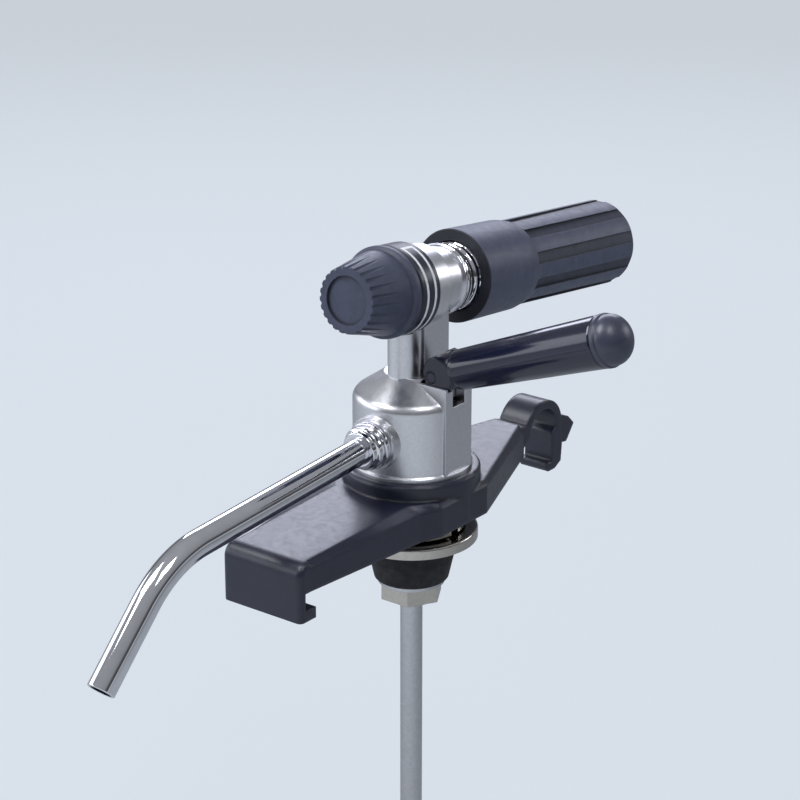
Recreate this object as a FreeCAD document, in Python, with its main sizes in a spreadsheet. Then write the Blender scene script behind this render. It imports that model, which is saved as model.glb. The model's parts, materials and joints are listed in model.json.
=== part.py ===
import FreeCAD, Part
import math
import os
import Sketcher

# Mini keg tap with a gas regulator and a cartridge sleeve, in millimetres.
# Frame: +Z up, -Y towards the spout, +X towards the lever.
# The origin lies on the tap's upright axis, on the face that seats on the keg.

os.makedirs("parts", exist_ok=True)
doc = FreeCAD.newDocument("mini_keg_tap")
sheet = doc.addObject("Spreadsheet::Sheet", "sizes")


class Size:
    """A sheet value or a sum of them: text for an expression and the number it gives."""

    def __init__(self, text, value):
        self.text = text
        self.value = float(value)

    def _join(self, sign, other, value):
        return Size("(" + self.text + sign + wrap(other).text + ")", value)

    def __add__(self, other):
        return self._join(" + ", other, self.value + wrap(other).value)

    def __radd__(self, other):
        return wrap(other) + self

    def __sub__(self, other):
        return self._join(" - ", other, self.value - wrap(other).value)

    def __rsub__(self, other):
        return wrap(other) - self

    def __mul__(self, other):
        return self._join(" * ", other, self.value * wrap(other).value)

    def __rmul__(self, other):
        return wrap(other) * self

    def __truediv__(self, other):
        return self._join(" / ", other, self.value / wrap(other).value)

    def __neg__(self):
        return Size("(0 - " + self.text + ")", -self.value)


def wrap(value):
    return value if isinstance(value, Size) else Size(repr(float(value)), value)


def sine(angle):
    return Size("sin(" + angle.text + ")", math.sin(math.radians(angle.value)))


def cosine(angle):
    return Size("cos(" + angle.text + ")", math.cos(math.radians(angle.value)))


def root(value):
    return Size("sqrt(" + value.text + ")", math.sqrt(value.value))


# Driving dimensions: alias, value, what it is
DIMENSIONS = [
    # Keg seat: flange, bung seal and dip tube
    ("flange_radius", 23.5, "sealing flange that rests on the keg"),
    ("flange_thick", 4.0, "flange thickness"),
    ("flange_round", 1.0, "rounding of the flange edge"),
    ("seat_recess", 0.5, "recess in the flange's underside that centres the bung seal"),
    ("recess_gap", 0.3, "clearance round the bung seal in that recess"),
    ("carrier_radius", 7.5, "tube of the seal carrier below the flange"),
    ("carrier_bore", 5.2, "bore of the seal carrier, the gas way round the dip tube"),
    ("carrier_thread", 9.0, "carrier neck screwed into the tap body"),
    ("carrier_neck_top", 16.0, "height of the carrier neck's top"),
    ("bung_radius", 15.0, "rubber bung seal, upper end"),
    ("bung_small", 13.2, "rubber bung seal, lower end"),
    ("bung_long", 16.0, "rubber bung seal, length"),
    ("bung_wall", 8.0, "upright wall of the bung seal"),
    ("bung_lip", 0.5, "bevel of the bung seal's edge inside the recess"),
    ("washer_radius", 12.0, "washer under the bung seal"),
    ("washer_thick", 1.5, "washer thickness"),
    ("nut_flats", 20.0, "width across the flats of the carrier nut"),
    ("nut_thick", 6.0, "carrier nut thickness"),
    ("nut_clear", 1.5, "thread standing out below the carrier nut"),
    ("dip_radius", 4.0, "dip tube, outside"),
    ("dip_bore", 3.0, "dip tube, inside"),
    ("dip_low", 214.0, "dip tube's end below the seat"),
    ("dip_top", 24.0, "top of the dip tube in the tap body"),
    ("ring_wire", 0.75, "seal round the dip tube, section radius"),
    ("ring_z", 21.0, "height of that seal"),
    ("fit_gap", 0.04, "radial gap of fits that stay put"),
    # Bridge
    ("hub_low", 10.1, "underside of the bridge"),
    ("hub_thick", 12.0, "hub height"),
    ("hub_half", 24.1, "half width of the hub"),
    ("hub_front", 22.7, "front corner of the hub, from the axis"),
    ("hub_front_half", 21.3, "half width at the front corner"),
    ("hub_facet", 14.4, "where the side facet starts, ahead of the axis"),
    ("hub_rear", 11.9, "where the side facet ends, behind the axis"),
    ("hub_bevel", 1.6, "bevel of the hub's top edge"),
    ("collar_radius", 24.2, "collar ring round the tap body"),
    ("collar_tall", 5.4, "collar ring height above the hub"),
    ("collar_round", 1.2, "rounding of the collar's top edge"),
    ("bridge_bore", 14.1, "bore of the bridge"),
    ("rim_radius", 78.5, "outer radius of the keg's rim"),
    ("rim_gap", 0.3, "clearance to the rim"),
    ("rim_top", 9.8, "top of the keg's rim above the seat"),
    ("rim_tall", 5.6, "height of the rolled rim"),
    ("arm_top_half", 15.5, "front arm's flat top, half width at the hub"),
    ("foot_half", 16.8, "half width of the front foot"),
    ("foot_front", 81.4, "front face of the foot"),
    ("foot_top", 20.5, "top of the foot"),
    ("foot_low", 0.0, "underside of the foot"),
    ("foot_lip", 5.2, "reach of the lip under the rim"),
    ("foot_deep", 5.5, "depth of the foot's inner web behind the rim"),
    ("foot_round", 1.8, "rounding of the foot's side edges"),
    ("foot_bevel", 2.0, "bevel of the front arm at the foot"),
    ("foot_edge", 5.0, "rounding of the front top edge of the foot"),
    ("arm_end", 57.5, "end of the rear arm"),
    ("arm_end_half", 8.0, "half width at the rear arm's end"),
    ("arm_end_top_half", 5.2, "half width of the flat top at the rear arm's end"),
    ("arm_end_top", 24.9, "top of the rear arm's end"),
    ("arm_end_low", 13.0, "underside of the rear arm's end"),
    ("arm_end_bevel", 2.5, "bevel at the rear arm end"),
    ("hook_half", 6.2, "half width of the spring hook"),
    ("hook_y", 72.6, "centre of the hook arch, behind the axis"),
    ("hook_z", 17.7, "centre of the hook arch, above the seat"),
    ("hook_out", 12.0, "outer radius of the hook arch"),
    ("hook_wall", 3.3, "thickness of the hook arch"),
    ("hook_low", 0.5, "lower end of the hook's leg"),
    ("leg_flare", 0.8, "flare of the leg at the rim"),
    ("barb_reach", 3.4, "reach of the barb under the rim"),
    ("tip_rise", 4.6, "rear arm's top over the arch's centre, where they join"),
    ("tab_reach", 11.8, "reach of the release tab"),
    ("tab_round", 3.4, "rounding of the release tab's corners"),
    ("tab_thick", 5.4, "thickness of the release tab's end"),
    ("tab_half", 5.0, "half width of the release tab"),
    ("tab_end_z", 12.7, "height of the release tab end"),
    ("arch_ease", 0.1, "flat left beside a full rounding"),
    # Lock nut under the bridge
    ("lock_radius", 19.0, "lock nut, outside"),
    ("lock_thick", 5.2, "lock nut, thickness"),
    ("notch_count", 4, "wrench notches in the lock nut"),
    ("notch_deep", 2.2, "depth of a notch"),
    ("notch_half", 2.0, "half width of a notch"),
    # Cast tap body
    ("body_radius", 20.6, "cast body"),
    ("body_tall", 26.4, "upright wall up to the dome"),
    ("body_lip", 0.7, "lip at the foot of the body"),
    ("body_lip_tall", 1.4, "height of the lip"),
    ("shoulder_round", 4.0, "rounding of the shoulder"),
    ("dome_rise", 7.6, "rise of the dome from the wall to the neck"),
    ("dome_top_radius", 9.5, "radius of the dome's flat top"),
    ("spigot_radius", 14.0, "spigot through the bridge"),
    ("block_flat", 0.4, "face of the lever block, inside the body's radius"),
    ("block_start", 6.6, "inner end of the lever block, from the axis"),
    ("block_half", 7.5, "half width of the lever block"),
    ("block_top", 60.6, "top of the lever block's cheeks"),
    ("rest_top", 59.4, "floor between the cheeks, where the lever's cam rests"),
    ("slot_half", 3.4, "half width of the slot in the block"),
    ("slot_low", 53.2, "bottom of the slot"),
    ("slot_inset", 4.2, "inner end of the slot, inward of the valve's axis"),
    ("column_radius", 5.8, "rounded front column of the neck"),
    ("column_y", 4.2, "column's centre ahead of the axis"),
    ("web_half", 6.3, "half width of the neck's rear web"),
    ("web_front", 0.8, "web's front, ahead of the axis"),
    ("web_rear", 12.8, "web's rear, behind the axis"),
    ("gas_room_top", 18.0, "top of the gas room over the carrier neck"),
    ("gas_bore", 1.0, "gas channel"),
    ("gas_y", 6.5, "lower end of the gas channel, behind the axis"),
    ("gas_lean", 4.12, "lean of the gas channel, in degrees"),
    ("gas_long", 68.0, "length of the gas channel"),
    ("inlet", 1.8, "cross channels of the valve"),
    ("drill_past", 0.6, "drilling past a cross channel"),
    ("inlet_z", 31.7, "height of the lower cross channel"),
    ("channel", 2.2, "beer channel to the spout"),
    # Head: measured along its own axis, positive to the front
    ("head_z", 92.2, "height of the head's axis over the origin"),
    ("head_tilt", 6.1, "tilt of the head, front end up, in degrees"),
    ("band_radius", 14.3, "barrel, large band"),
    ("band_front", 4.3, "front of the large band"),
    ("band_rear", 3.9, "rear of the large band, behind the axis"),
    ("barrel_radius", 11.6, "barrel, small band"),
    ("barrel_rear", 14.3, "rear end of the barrel"),
    ("regulator_bore", 10.0, "front bore of the barrel"),
    ("regulator_deep", 2.4, "depth of the front bore behind the axis"),
    ("ledge", -0.8, "ledge under the diaphragm"),
    ("ledge_bore", 8.0, "bore inside the ledge"),
    ("stub_thread", 9.4, "thread of the piercing stub in the barrel"),
    ("stub_deep", 4.6, "depth of that thread"),
    # Piercing stub, needle and gasket
    ("stub_flange_radius", 12.6, "collar of the stub"),
    ("stub_flange_rear", 17.6, "rear of the stub's collar"),
    ("stub_relief", 11.2, "relief behind the collar"),
    ("stub_radius", 12.1, "crest of the stub's thread"),
    ("stub_root", 11.4, "root of the stub's thread"),
    ("stub_pitch", 3.2, "spacing of the thread's crests"),
    ("crest_half", 0.55, "half width of a thread crest"),
    ("stub_thread_front", 19.4, "first crest behind the axis"),
    ("stub_rear", 36.0, "rear end of the stub"),
    ("neck_bore", 5.2, "bore for the cartridge's neck"),
    ("neck_bore_end", 25.0, "end of that bore"),
    ("needle_radius", 2.0, "piercing needle"),
    ("needle_hole", 0.6, "gas hole in the needle"),
    ("needle_seat", 2.1, "needle head below the stub front"),
    ("point_radius", 1.1, "needle point"),
    ("point_long", 1.0, "length of one step of the point"),
    ("gasket_thick", 1.5, "gasket thickness"),
    # Cartridge and sleeve
    ("cart_radius", 11.0, "gas cartridge"),
    ("cart_neck", 4.5, "cartridge neck"),
    ("cart_neck_long", 11.0, "length of the neck"),
    ("cart_shoulder", 10.0, "length of the shoulder"),
    ("cart_wall", 1.5, "wall of the cartridge"),
    ("sleeve_front", 23.2, "front rim of the sleeve"),
    ("sleeve_long", 94.2, "length of the sleeve"),
    ("sleeve_front_radius", 16.6, "sleeve's smooth band at the rim"),
    ("sleeve_band_radius", 16.3, "sleeve's smooth band at its end"),
    ("sleeve_band_long", 27.0, "length of the smooth band"),
    ("sleeve_step", 6.0, "length of the taper to the grip"),
    ("sleeve_grip_radius", 15.4, "grip at its front"),
    ("sleeve_rear_radius", 15.9, "grip at its rear"),
    ("sleeve_bore", 12.5, "bore of the sleeve"),
    ("sleeve_end_wall", 3.2, "end wall of the sleeve"),
    ("sleeve_round", 2.0, "rounding of the sleeve end"),
    ("sleeve_flutes", 10, "number of long flutes"),
    ("flute_half", 2.1, "half width of a long flute"),
    ("flute_deep", 1.1, "depth of a long flute at its front"),
    ("flute_shallow", 0.6, "depth of a long flute at the sleeve's end"),
    ("flute_start", 31.0, "start of the flutes from the sleeve's rim"),
    # Regulator
    ("bonnet_flange", 12.4, "bonnet's flange"),
    ("bonnet_flange_thick", 1.9, "thickness of the bonnet flange"),
    ("bonnet_nose", 8.0, "bonnet's nose"),
    ("bonnet_front", 20.6, "front end of the nose"),
    ("bonnet_bore", 6.6, "spring chamber"),
    ("bonnet_wall", 5.6, "front wall of the spring chamber"),
    ("dial_radius", 15.7, "dial ring"),
    ("dial_bore", 12.5, "dial ring's bore"),
    ("dial_web", 1.2, "inner web that holds the dial ring"),
    ("dial_web_bore", 10.2, "bore of that web"),
    ("dial_front", 14.6, "front of the dial ring"),
    ("dial_bevel", 0.5, "bevel of the dial ring's edges"),
    ("piston_thick", 1.4, "diaphragm thickness"),
    ("plate_radius", 6.2, "spring plates"),
    ("plate_thick", 1.4, "spring plate thickness"),
    ("plate_front", 12.4, "front of the adjusting plate"),
    ("spring_wire", 0.5, "regulator spring, wire radius"),
    ("spring_mean", 4.8, "regulator spring, coil radius"),
    ("spring_pitch", 2.35, "regulator spring, pitch"),
    ("spindle_radius", 3.0, "adjusting spindle"),
    ("spindle_front", 30.6, "front end of the spindle"),
    ("run_gap", 0.05, "running clearance of shafts"),
    ("turn_gap", 0.3, "clearance between turning faces"),
    # Knob
    ("knob_rear", 15.0, "rear edge of the knob's skirt"),
    ("skirt_radius", 15.9, "knob's skirt"),
    ("skirt_long", 2.8, "length of the skirt"),
    ("skirt_round", 0.9, "rounding of the skirt"),
    ("skirt_slope", 0.8, "length of the step from skirt to cone"),
    ("cone_rear_radius", 14.6, "cone at its rear"),
    ("cone_front_radius", 11.3, "cone at its front"),
    ("knob_front", 35.9, "front rim of the knob"),
    ("recess_radius", 8.4, "recessed front disc"),
    ("recess_deep", 0.9, "depth of the recess"),
    ("knob_bore", 8.3, "knob's bore over the nose"),
    ("knob_bore_end", 21.2, "end of that bore"),
    ("spindle_hole", 9.8, "depth of the spindle hole in the knob"),
    ("knob_flutes", 24, "number of flutes"),
    ("knob_flute_radius", 0.9, "radius of a flute"),
    ("flute_centre", 11.42, "centre of a flute cutter in front of the knob"),
    ("flute_slope", 0.235, "slope of a flute, outward per length"),
    ("knob_flute_long", 11.5, "length of a flute"),
    # Spout
    ("spout_z", 42.6, "height of the spout axis at the tap axis"),
    ("spout_drop", 3.9, "fall of the first run, in degrees"),
    ("spout_turn", 41.6, "further turn at the bend, in degrees"),
    ("spout_radius", 4.7, "spout tube, outside"),
    ("spout_bore", 3.7, "spout tube, inside"),
    ("spout_corner", 125.4, "bend's corner ahead of the axis"),
    ("spout_bend", 40.0, "bend radius"),
    ("spout_run", 45.6, "from the bend's corner to the end"),
    ("boss_radius", 9.4, "cast boss round the spout"),
    ("boss_stand", 1.8, "boss standing out of the body"),
    ("boss_bore", 5.6, "bore of the boss"),
    ("seal_thick", 1.5, "spout seal thickness"),
    ("spout_flange", 1.5, "collar of the spout tube"),
    ("spout_socket", 6.5, "depth of the spout tube in the boss"),
    ("collet_radius", 8.4, "union nut's flange"),
    ("collet_small", 7.0, "union nut's nose"),
    ("collet_mid", 7.8, "second ring of the union nut"),
    ("collet_step", 2.4, "width of the first ring"),
    ("collet_round", 0.6, "rounding of the first ring"),
    ("collet_long", 7.6, "union nut's length outside the boss"),
    # Valve
    ("valve_inset", 7.8, "valve stem's axis inside the body's radius"),
    ("valve_bore", 3.2, "valve chamber"),
    ("seat_low", 34.0, "underside of the seat ring"),
    ("seat_thick", 2.5, "seat ring thickness"),
    ("seat_bore", 1.6, "bore of the seat ring"),
    ("plug_radius", 2.7, "valve plug"),
    ("plug_thick", 2.5, "valve plug thickness"),
    ("shoe_thick", 0.8, "spring shoe thickness"),
    ("tang_radius", 0.95, "tip of the stem in the plug"),
    ("tang_long", 1.8, "length of that tip"),
    ("stem_radius", 1.6, "valve stem"),
    ("stem_ring_z", 51.2, "stem seal's height"),
    ("stem_wire", 0.6, "stem seal, section radius"),
    ("gland_long", 4.2, "length of the gland"),
    ("valve_wire", 0.3, "valve spring, wire radius"),
    ("valve_coil", 2.35, "valve spring, coil radius"),
    ("valve_pitch", 1.8, "valve spring, pitch"),
    ("eye_half", 3.1, "half thickness of the stem's eye"),
    ("eye_radius", 3.5, "rounding of the eye"),
    ("eye_low", 54.4, "underside of the eye"),
    # Lever
    ("pin_z", 63.1, "height of the lever pin"),
    ("pin_radius", 2.0, "lever pin"),
    ("pin_bevel", 0.3, "bevel of pin ends"),
    ("lever_rise", 21.3, "rise of the lever at rest, in degrees"),
    ("lever_swing", 22.0, "travel of the lever, in degrees"),
    ("head_half", 6.0, "half width of the lever's head"),
    ("head_round", 7.0, "rounding of the lever's head"),
    ("head_centre", 4.0, "centre of that rounding along the lever"),
    ("head_long", 8.6, "end of the lever head past the pin"),
    ("heel_round", 1.4, "rounding of the head below"),
    ("fork_half", 3.35, "half width of the fork"),
    ("fork_deep", 4.8, "depth of the fork past the pin"),
    ("cam_flat", 3.4, "pin to the flat under the head"),
    ("cam_nose", 5.2, "end of the flat ahead of the pin"),
    ("grip_start", 5.8, "start of the grip past the pin"),
    ("grip_clear", 7.8, "end of the grip's neck, clear of the block when pressed"),
    ("grip_full", 8.6, "where the grip reaches its full section"),
    ("grip_neck", 5.3, "radius of the grip's neck"),
    ("grip_radius", 7.05, "grip radius by the head"),
    ("grip_tip", 9.0, "grip radius at the cap"),
    ("grip_end", 70.6, "end of the grip past the pin"),
    ("cap_bead", 9.15, "bead of the end cap"),
    ("cap_bead_long", 2.0, "length of the bead"),
    ("cap_dome", 8.7, "dome of the end cap"),
    ("cap_dome_tall", 7.4, "height of the dome"),
    ("cap_spigot", 5.0, "spigot of the end cap in the grip"),
    ("cap_spigot_long", 7.0, "length of that spigot"),
    ("cap_socket", 7.3, "depth of the socket in the grip"),
]

size = {}
for row, (alias, value, meaning) in enumerate(DIMENSIONS, start=1):
    sheet.set("A%d" % row, meaning)
    sheet.set("B%d" % row, repr(value))
    sheet.setAlias("B%d" % row, alias)
    size[alias] = Size("sizes." + alias, value)
doc.recompute()


class Named:
    """Reads the driving dimensions as attributes."""

    def __getattr__(self, alias):
        return size[alias]


d = Named()


def start(name, base=None, turn=None):
    """Opens the body of one piece; base and turn place it in the tap's frame."""
    body = doc.addObject("PartDesign::Body", name)
    body.Label = name
    if turn:
        axis, angle = turn
        body.Placement.Rotation = FreeCAD.Rotation(axis, angle.value)
        body.setExpression("Placement.Rotation.Angle", angle.text)
    for letter, value in zip("xyz", base or ()):
        if isinstance(value, Size):
            body.setExpression("Placement.Base." + letter, value.text)
    return body


def new_sketch(body, name, role="XZ_Plane", base=None, turn=None):
    """A sketch on one of the body's own planes, shifted and turned if asked."""
    sketch = body.newObject("Sketcher::SketchObject", name + "_sketch")
    plane = [item for item in body.Origin.OriginFeatures if item.Role == role][0]
    sketch.AttachmentSupport = [(plane, "")]
    sketch.MapMode = "FlatFace"
    if turn:
        offset = FreeCAD.Placement()
        offset.Rotation = FreeCAD.Rotation(FreeCAD.Vector(1, 0, 0), turn.value)
        sketch.AttachmentOffset = offset
        sketch.setExpression("AttachmentOffset.Rotation.Angle", turn.text)
    for letter, value in zip("xyz", base or ()):
        if isinstance(value, Size):
            sketch.setExpression("AttachmentOffset.Base." + letter, value.text)
    return sketch


def bind(sketch, geometry, point, across, up):
    """Ties one point of the sketch to sheet values; a plain 0 puts it on the axis."""
    for kind, axis, value in (("DistanceX", -2, across), ("DistanceY", -1, up)):
        if isinstance(value, Size):
            number = sketch.addConstraint(
                Sketcher.Constraint(kind, -1, 1, geometry, point, value.value))
            sketch.setExpression("Constraints[%d]" % number, value.text)
        else:
            sketch.addConstraint(Sketcher.Constraint("PointOnObject", geometry, point, axis))


def outline(body, name, points, **place):
    """A closed outline of straight lines through the given points."""
    sketch = new_sketch(body, name, **place)
    spots = [FreeCAD.Vector(wrap(a).value, wrap(b).value, 0) for a, b in points]
    count = len(spots)
    sketch.addGeometry(
        [Part.LineSegment(spots[i], spots[(i + 1) % count]) for i in range(count)], False)
    sketch.addConstraint(
        [Sketcher.Constraint("Coincident", i, 2, (i + 1) % count, 1) for i in range(count)])
    for i, (across, up) in enumerate(points):
        bind(sketch, i, 1, across, up)
    return sketch


def circle(body, name, across, up, radius, **place):
    sketch = new_sketch(body, name, **place)
    centre = FreeCAD.Vector(wrap(across).value, wrap(up).value, 0)
    sketch.addGeometry(Part.Circle(centre, FreeCAD.Vector(0, 0, 1), radius.value), False)
    number = sketch.addConstraint(Sketcher.Constraint("Radius", 0, radius.value))
    sketch.setExpression("Constraints[%d]" % number, radius.text)
    bind(sketch, 0, 3, across, up)
    return sketch


def turned(body, name, sketch, cut=False):
    """Turns the sketch round its own upright axis."""
    kind = "PartDesign::Groove" if cut else "PartDesign::Revolution"
    feature = body.newObject(kind, name)
    feature.Profile = sketch
    feature.ReferenceAxis = (sketch, ["V_Axis"])
    feature.Angle = 360
    sketch.Visibility = False
    return feature


def raised(body, name, sketch, length, cut=False, both=False, back=False):
    """Pads or pockets the sketch over a length."""
    kind = "PartDesign::Pocket" if cut else "PartDesign::Pad"
    feature = body.newObject(kind, name)
    feature.Profile = sketch
    feature.Length = length.value
    feature.setExpression("Length", length.text)
    if both:
        feature.Midplane = True
    feature.Reversed = back
    sketch.Visibility = False
    return feature


def lathe(body, name, points, cut=False, **place):
    return turned(body, name, outline(body, name, points, **place), cut)


def ring(body, name, across, up, radius, **place):
    return turned(body, name, circle(body, name, across, up, radius, **place))


def edges_where(feature, pick):
    """Names of the feature's edges that pass the test."""
    doc.recompute()
    names = []
    for number, edge in enumerate(feature.Shape.Edges, start=1):
        if pick(edge):
            names.append("Edge%d" % number)
    if not names:
        raise RuntimeError("no edge found on " + feature.Label)
    return names


def soften(body, name, feature, pick, radius, chamfer=False):
    kind = "PartDesign::Chamfer" if chamfer else "PartDesign::Fillet"
    result = body.newObject(kind, name)
    result.Base = (feature, edges_where(feature, pick))
    key = "Size" if chamfer else "Radius"
    setattr(result, key, radius.value)
    result.setExpression(key, radius.text)
    return result


def middle(edge):
    return edge.valueAt((edge.FirstParameter + edge.LastParameter) / 2)


def near(value, target, slack=0.02):
    return abs(value - wrap(target).value) < slack


def rim_at(radius, height):
    """Test for round edges of one radius at one height of the body's own frame."""
    def pick(edge):
        curve = edge.Curve
        if not hasattr(curve, "Radius"):
            return False
        return near(curve.Radius, radius) and near(curve.Center.z, height)
    return pick


def straight(axis, **where):
    """Test for straight edges along one axis whose middle lies at the given places."""
    def pick(edge):
        if not hasattr(edge.Curve, "Direction"):
            return False
        if abs(abs(getattr(edge.Curve.Direction, axis)) - 1) > 1e-6:
            return False
        spot = middle(edge)
        return all(near(abs(getattr(spot, key)), value) for key, value in where.items())
    return pick


def patterned(body, name, feature, count):
    """Repeats a feature evenly round the body's upright axis."""
    axis = [item for item in body.Origin.OriginFeatures if item.Role == "Z_Axis"][0]
    result = body.newObject("PartDesign::PolarPattern", name)
    result.Originals = [feature]
    result.Axis = (axis, [""])
    result.Angle = 360
    result.Occurrences = int(count.value)
    result.setExpression("Occurrences", count.text)
    body.Tip = result
    return result


def coil(body, name, across, up, wire, pitch, length):
    """A round wire wound about the body's upright axis."""
    sketch = circle(body, name, across, up, wire)
    feature = body.newObject("PartDesign::AdditiveHelix", name)
    feature.Profile = sketch
    feature.ReferenceAxis = (sketch, ["V_Axis"])
    feature.Mode = 0
    feature.Pitch = pitch.value
    feature.setExpression("Pitch", pitch.text)
    feature.Height = length.value
    feature.setExpression("Height", length.text)
    sketch.Visibility = False
    return feature


SIDEWAYS = FreeCAD.Vector(1, 0, 0)
ACROSS = FreeCAD.Vector(0, 1, 0)

# Heights and stations that several pieces share
hub_top = d.hub_low + d.hub_thick
body_seat = hub_top + d.collar_tall
wall_top = body_seat + d.body_tall
dome_top = wall_top + d.dome_rise
block_face = d.body_radius - d.block_flat
boss_face = d.body_radius + d.boss_stand
valve_x = d.body_radius - d.valve_inset
slot_end = valve_x - d.slot_inset
head_turn = 90 - d.head_tilt
head_place = dict(base=(0, 0, d.head_z), turn=(SIDEWAYS, head_turn))
head_sketch = dict(role="XY_Plane", base=(0, 0, d.head_z), turn=180 - d.head_tilt)
spout_place = dict(base=(0, 0, d.spout_z), turn=(SIDEWAYS, 90 + d.spout_drop))
spout_sketch = dict(role="XY_Plane", base=(0, 0, d.spout_z), turn=180 + d.spout_drop)
lever_place = dict(base=(valve_x, 0, d.pin_z), turn=(ACROSS, 90 - d.lever_rise))
valve_place = dict(base=(valve_x, 0, 0))
tube_fit = d.dip_radius + d.fit_gap
carrier_low = -(d.bung_long + d.washer_thick + d.nut_thick + d.nut_clear)
washer_low = -(d.bung_long + d.washer_thick)
cart_front = -(d.neck_bore_end + d.gasket_thick)
sleeve_rear = -(d.sleeve_front + d.sleeve_long)
cart_rear = sleeve_rear + d.sleeve_end_wall + d.turn_gap

# Seal carrier: flange on the keg, neck in the tap body, tube down through the bung
body = start("seal_carrier")
recess_radius = d.bung_radius + d.recess_gap
carrier = lathe(body, "carrier", [
    (d.carrier_bore, carrier_low), (d.carrier_radius, carrier_low),
    (d.carrier_radius, d.seat_recess), (recess_radius, d.seat_recess), (recess_radius, 0),
    (d.flange_radius, 0), (d.flange_radius, d.flange_thick), (d.carrier_thread, d.flange_thick),
    (d.carrier_thread, d.carrier_neck_top), (d.carrier_bore, d.carrier_neck_top)])
soften(body, "carrier_edge", carrier, rim_at(d.flange_radius, d.flange_thick), d.flange_round)

# Rubber bung that seals in the keg's opening
body = start("bung_seal")
bung = lathe(body, "bung", [
    (d.carrier_radius + d.fit_gap, d.seat_recess), (d.bung_radius - d.bung_lip, d.seat_recess),
    (d.bung_radius, 0), (d.bung_radius, -d.bung_wall),
    (d.bung_small, -d.bung_long), (d.carrier_radius + d.fit_gap, -d.bung_long)])
soften(body, "bung_edge", bung, rim_at(d.bung_small, -d.bung_long), d.flange_round)

# Washer and nut that squeeze the bung
body = start("bung_washer")
lathe(body, "washer", [
    (d.carrier_radius + d.fit_gap, -d.bung_long), (d.washer_radius, -d.bung_long),
    (d.washer_radius, washer_low), (d.carrier_radius + d.fit_gap, washer_low)])

body = start("bung_nut")
corner = d.nut_flats / root(wrap(3))
hexagon = outline(body, "hexagon", [
    (corner, 0), (corner / 2, d.nut_flats / 2), (-corner / 2, d.nut_flats / 2),
    (-corner, 0), (-corner / 2, -d.nut_flats / 2), (corner / 2, -d.nut_flats / 2)],
    role="XY_Plane", base=(0, 0, washer_low))
raised(body, "nut", hexagon, d.nut_thick, back=True)
lathe(body, "nut_bore", [
    (0, washer_low + 1), (d.carrier_radius + d.fit_gap, washer_low + 1),
    (d.carrier_radius + d.fit_gap, carrier_low), (0, carrier_low)], cut=True)

# Dip tube with its foot cut aslant, and the ring that seals it in the tap body
body = start("dip_tube")
lathe(body, "tube", [
    (d.dip_bore, -d.dip_low), (d.dip_radius, -d.dip_low), (d.dip_radius, d.dip_top),
    (d.dip_bore, d.dip_top)])
past = d.dip_radius + 1
slant = outline(body, "slant", [
    (-past, -(d.dip_low + 1)), (past, -(d.dip_low + 1)), (past, -(d.dip_low - past))])
raised(body, "slant_cut", slant, past * 2, cut=True, both=True)

body = start("dip_tube_ring")
ring(body, "seal", d.dip_radius + d.ring_wire, d.ring_z, d.ring_wire)

# Nut that holds the tap body down on the bridge, with four notches for a pin wrench
body = start("lock_nut")
lock_low = d.hub_low - d.lock_thick
lathe(body, "lock", [
    (d.spigot_radius + d.fit_gap, lock_low), (d.lock_radius, lock_low),
    (d.lock_radius, d.hub_low), (d.spigot_radius + d.fit_gap, d.hub_low)])
notch = outline(body, "notch", [
    (d.lock_radius - d.notch_deep, -d.notch_half), (d.lock_radius + 1, -d.notch_half),
    (d.lock_radius + 1, d.notch_half), (d.lock_radius - d.notch_deep, d.notch_half)],
    role="XY_Plane", base=(0, 0, lock_low + d.lock_thick / 2))
notch_cut = raised(body, "notch_cut", notch, d.lock_thick, cut=True)
patterned(body, "notches", notch_cut, d.notch_count)

# Bridge: one moulding with the spring hook, both arms, the hub, its collar and the foot
body = start("bridge")
arch_left = d.hook_y - d.hook_out
arch_right = d.hook_y + d.hook_out
arch_top = d.hook_z + d.hook_out
arch_in = d.hook_out - d.hook_wall
rim_wall = d.rim_radius + d.rim_gap
rim_low = d.rim_top - d.rim_tall
rim_floor = rim_low - d.rim_gap
arch = outline(body, "arch", [
    (arch_left, d.hook_z), (arch_left, arch_top), (arch_right, arch_top),
    (arch_right, d.hook_z), (arch_right + d.leg_flare, d.rim_top + 2),
    (arch_right, d.hook_low + 2), (arch_right - 4, d.hook_low),
    (rim_wall - d.barb_reach + 1, d.hook_low), (rim_wall - d.barb_reach, d.hook_low + 1.4),
    (rim_wall - d.barb_reach, rim_floor), (rim_wall, rim_floor),
    (rim_wall, d.hook_z - 2.4), (d.hook_y + arch_in, d.hook_z - 0.6),
    (d.hook_y + arch_in, d.hook_z + arch_in), (d.hook_y - arch_in, d.hook_z + arch_in),
    (d.hook_y - arch_in, d.hook_z)], role="YZ_Plane")
arch_pad = raised(body, "arch_pad", arch, d.hook_half * 2, both=True)
arch_outer = soften(
    body, "arch_outer", arch_pad, straight("x", z=arch_top), d.hook_out - d.arch_ease)
arch_inner = soften(
    body, "arch_inner", arch_outer, straight("x", z=d.hook_z + arch_in), arch_in - d.arch_ease)
tab = outline(body, "tab", [
    (arch_right - 1.5, d.hook_z + 3.5), (arch_right, d.hook_z + 2.6),
    (arch_right + d.tab_reach * 0.52, d.hook_z + 0.5), (arch_right + d.tab_reach, d.tab_end_z),
    (arch_right + d.tab_reach - 1.8, d.tab_end_z - 2.3),
    (arch_right + d.tab_reach * 0.48, d.tab_end_z - d.tab_thick + 1),
    (arch_right - 1, d.tab_end_z - d.tab_thick + 2)], role="YZ_Plane")
tab_pad = raised(body, "tab_pad", tab, d.tab_half * 2, both=True)


def tab_corner(edge):
    place = middle(edge)
    return near(abs(place.x), d.tab_half) and near(place.y, arch_right + d.tab_reach - 0.9, 0.3)


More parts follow.
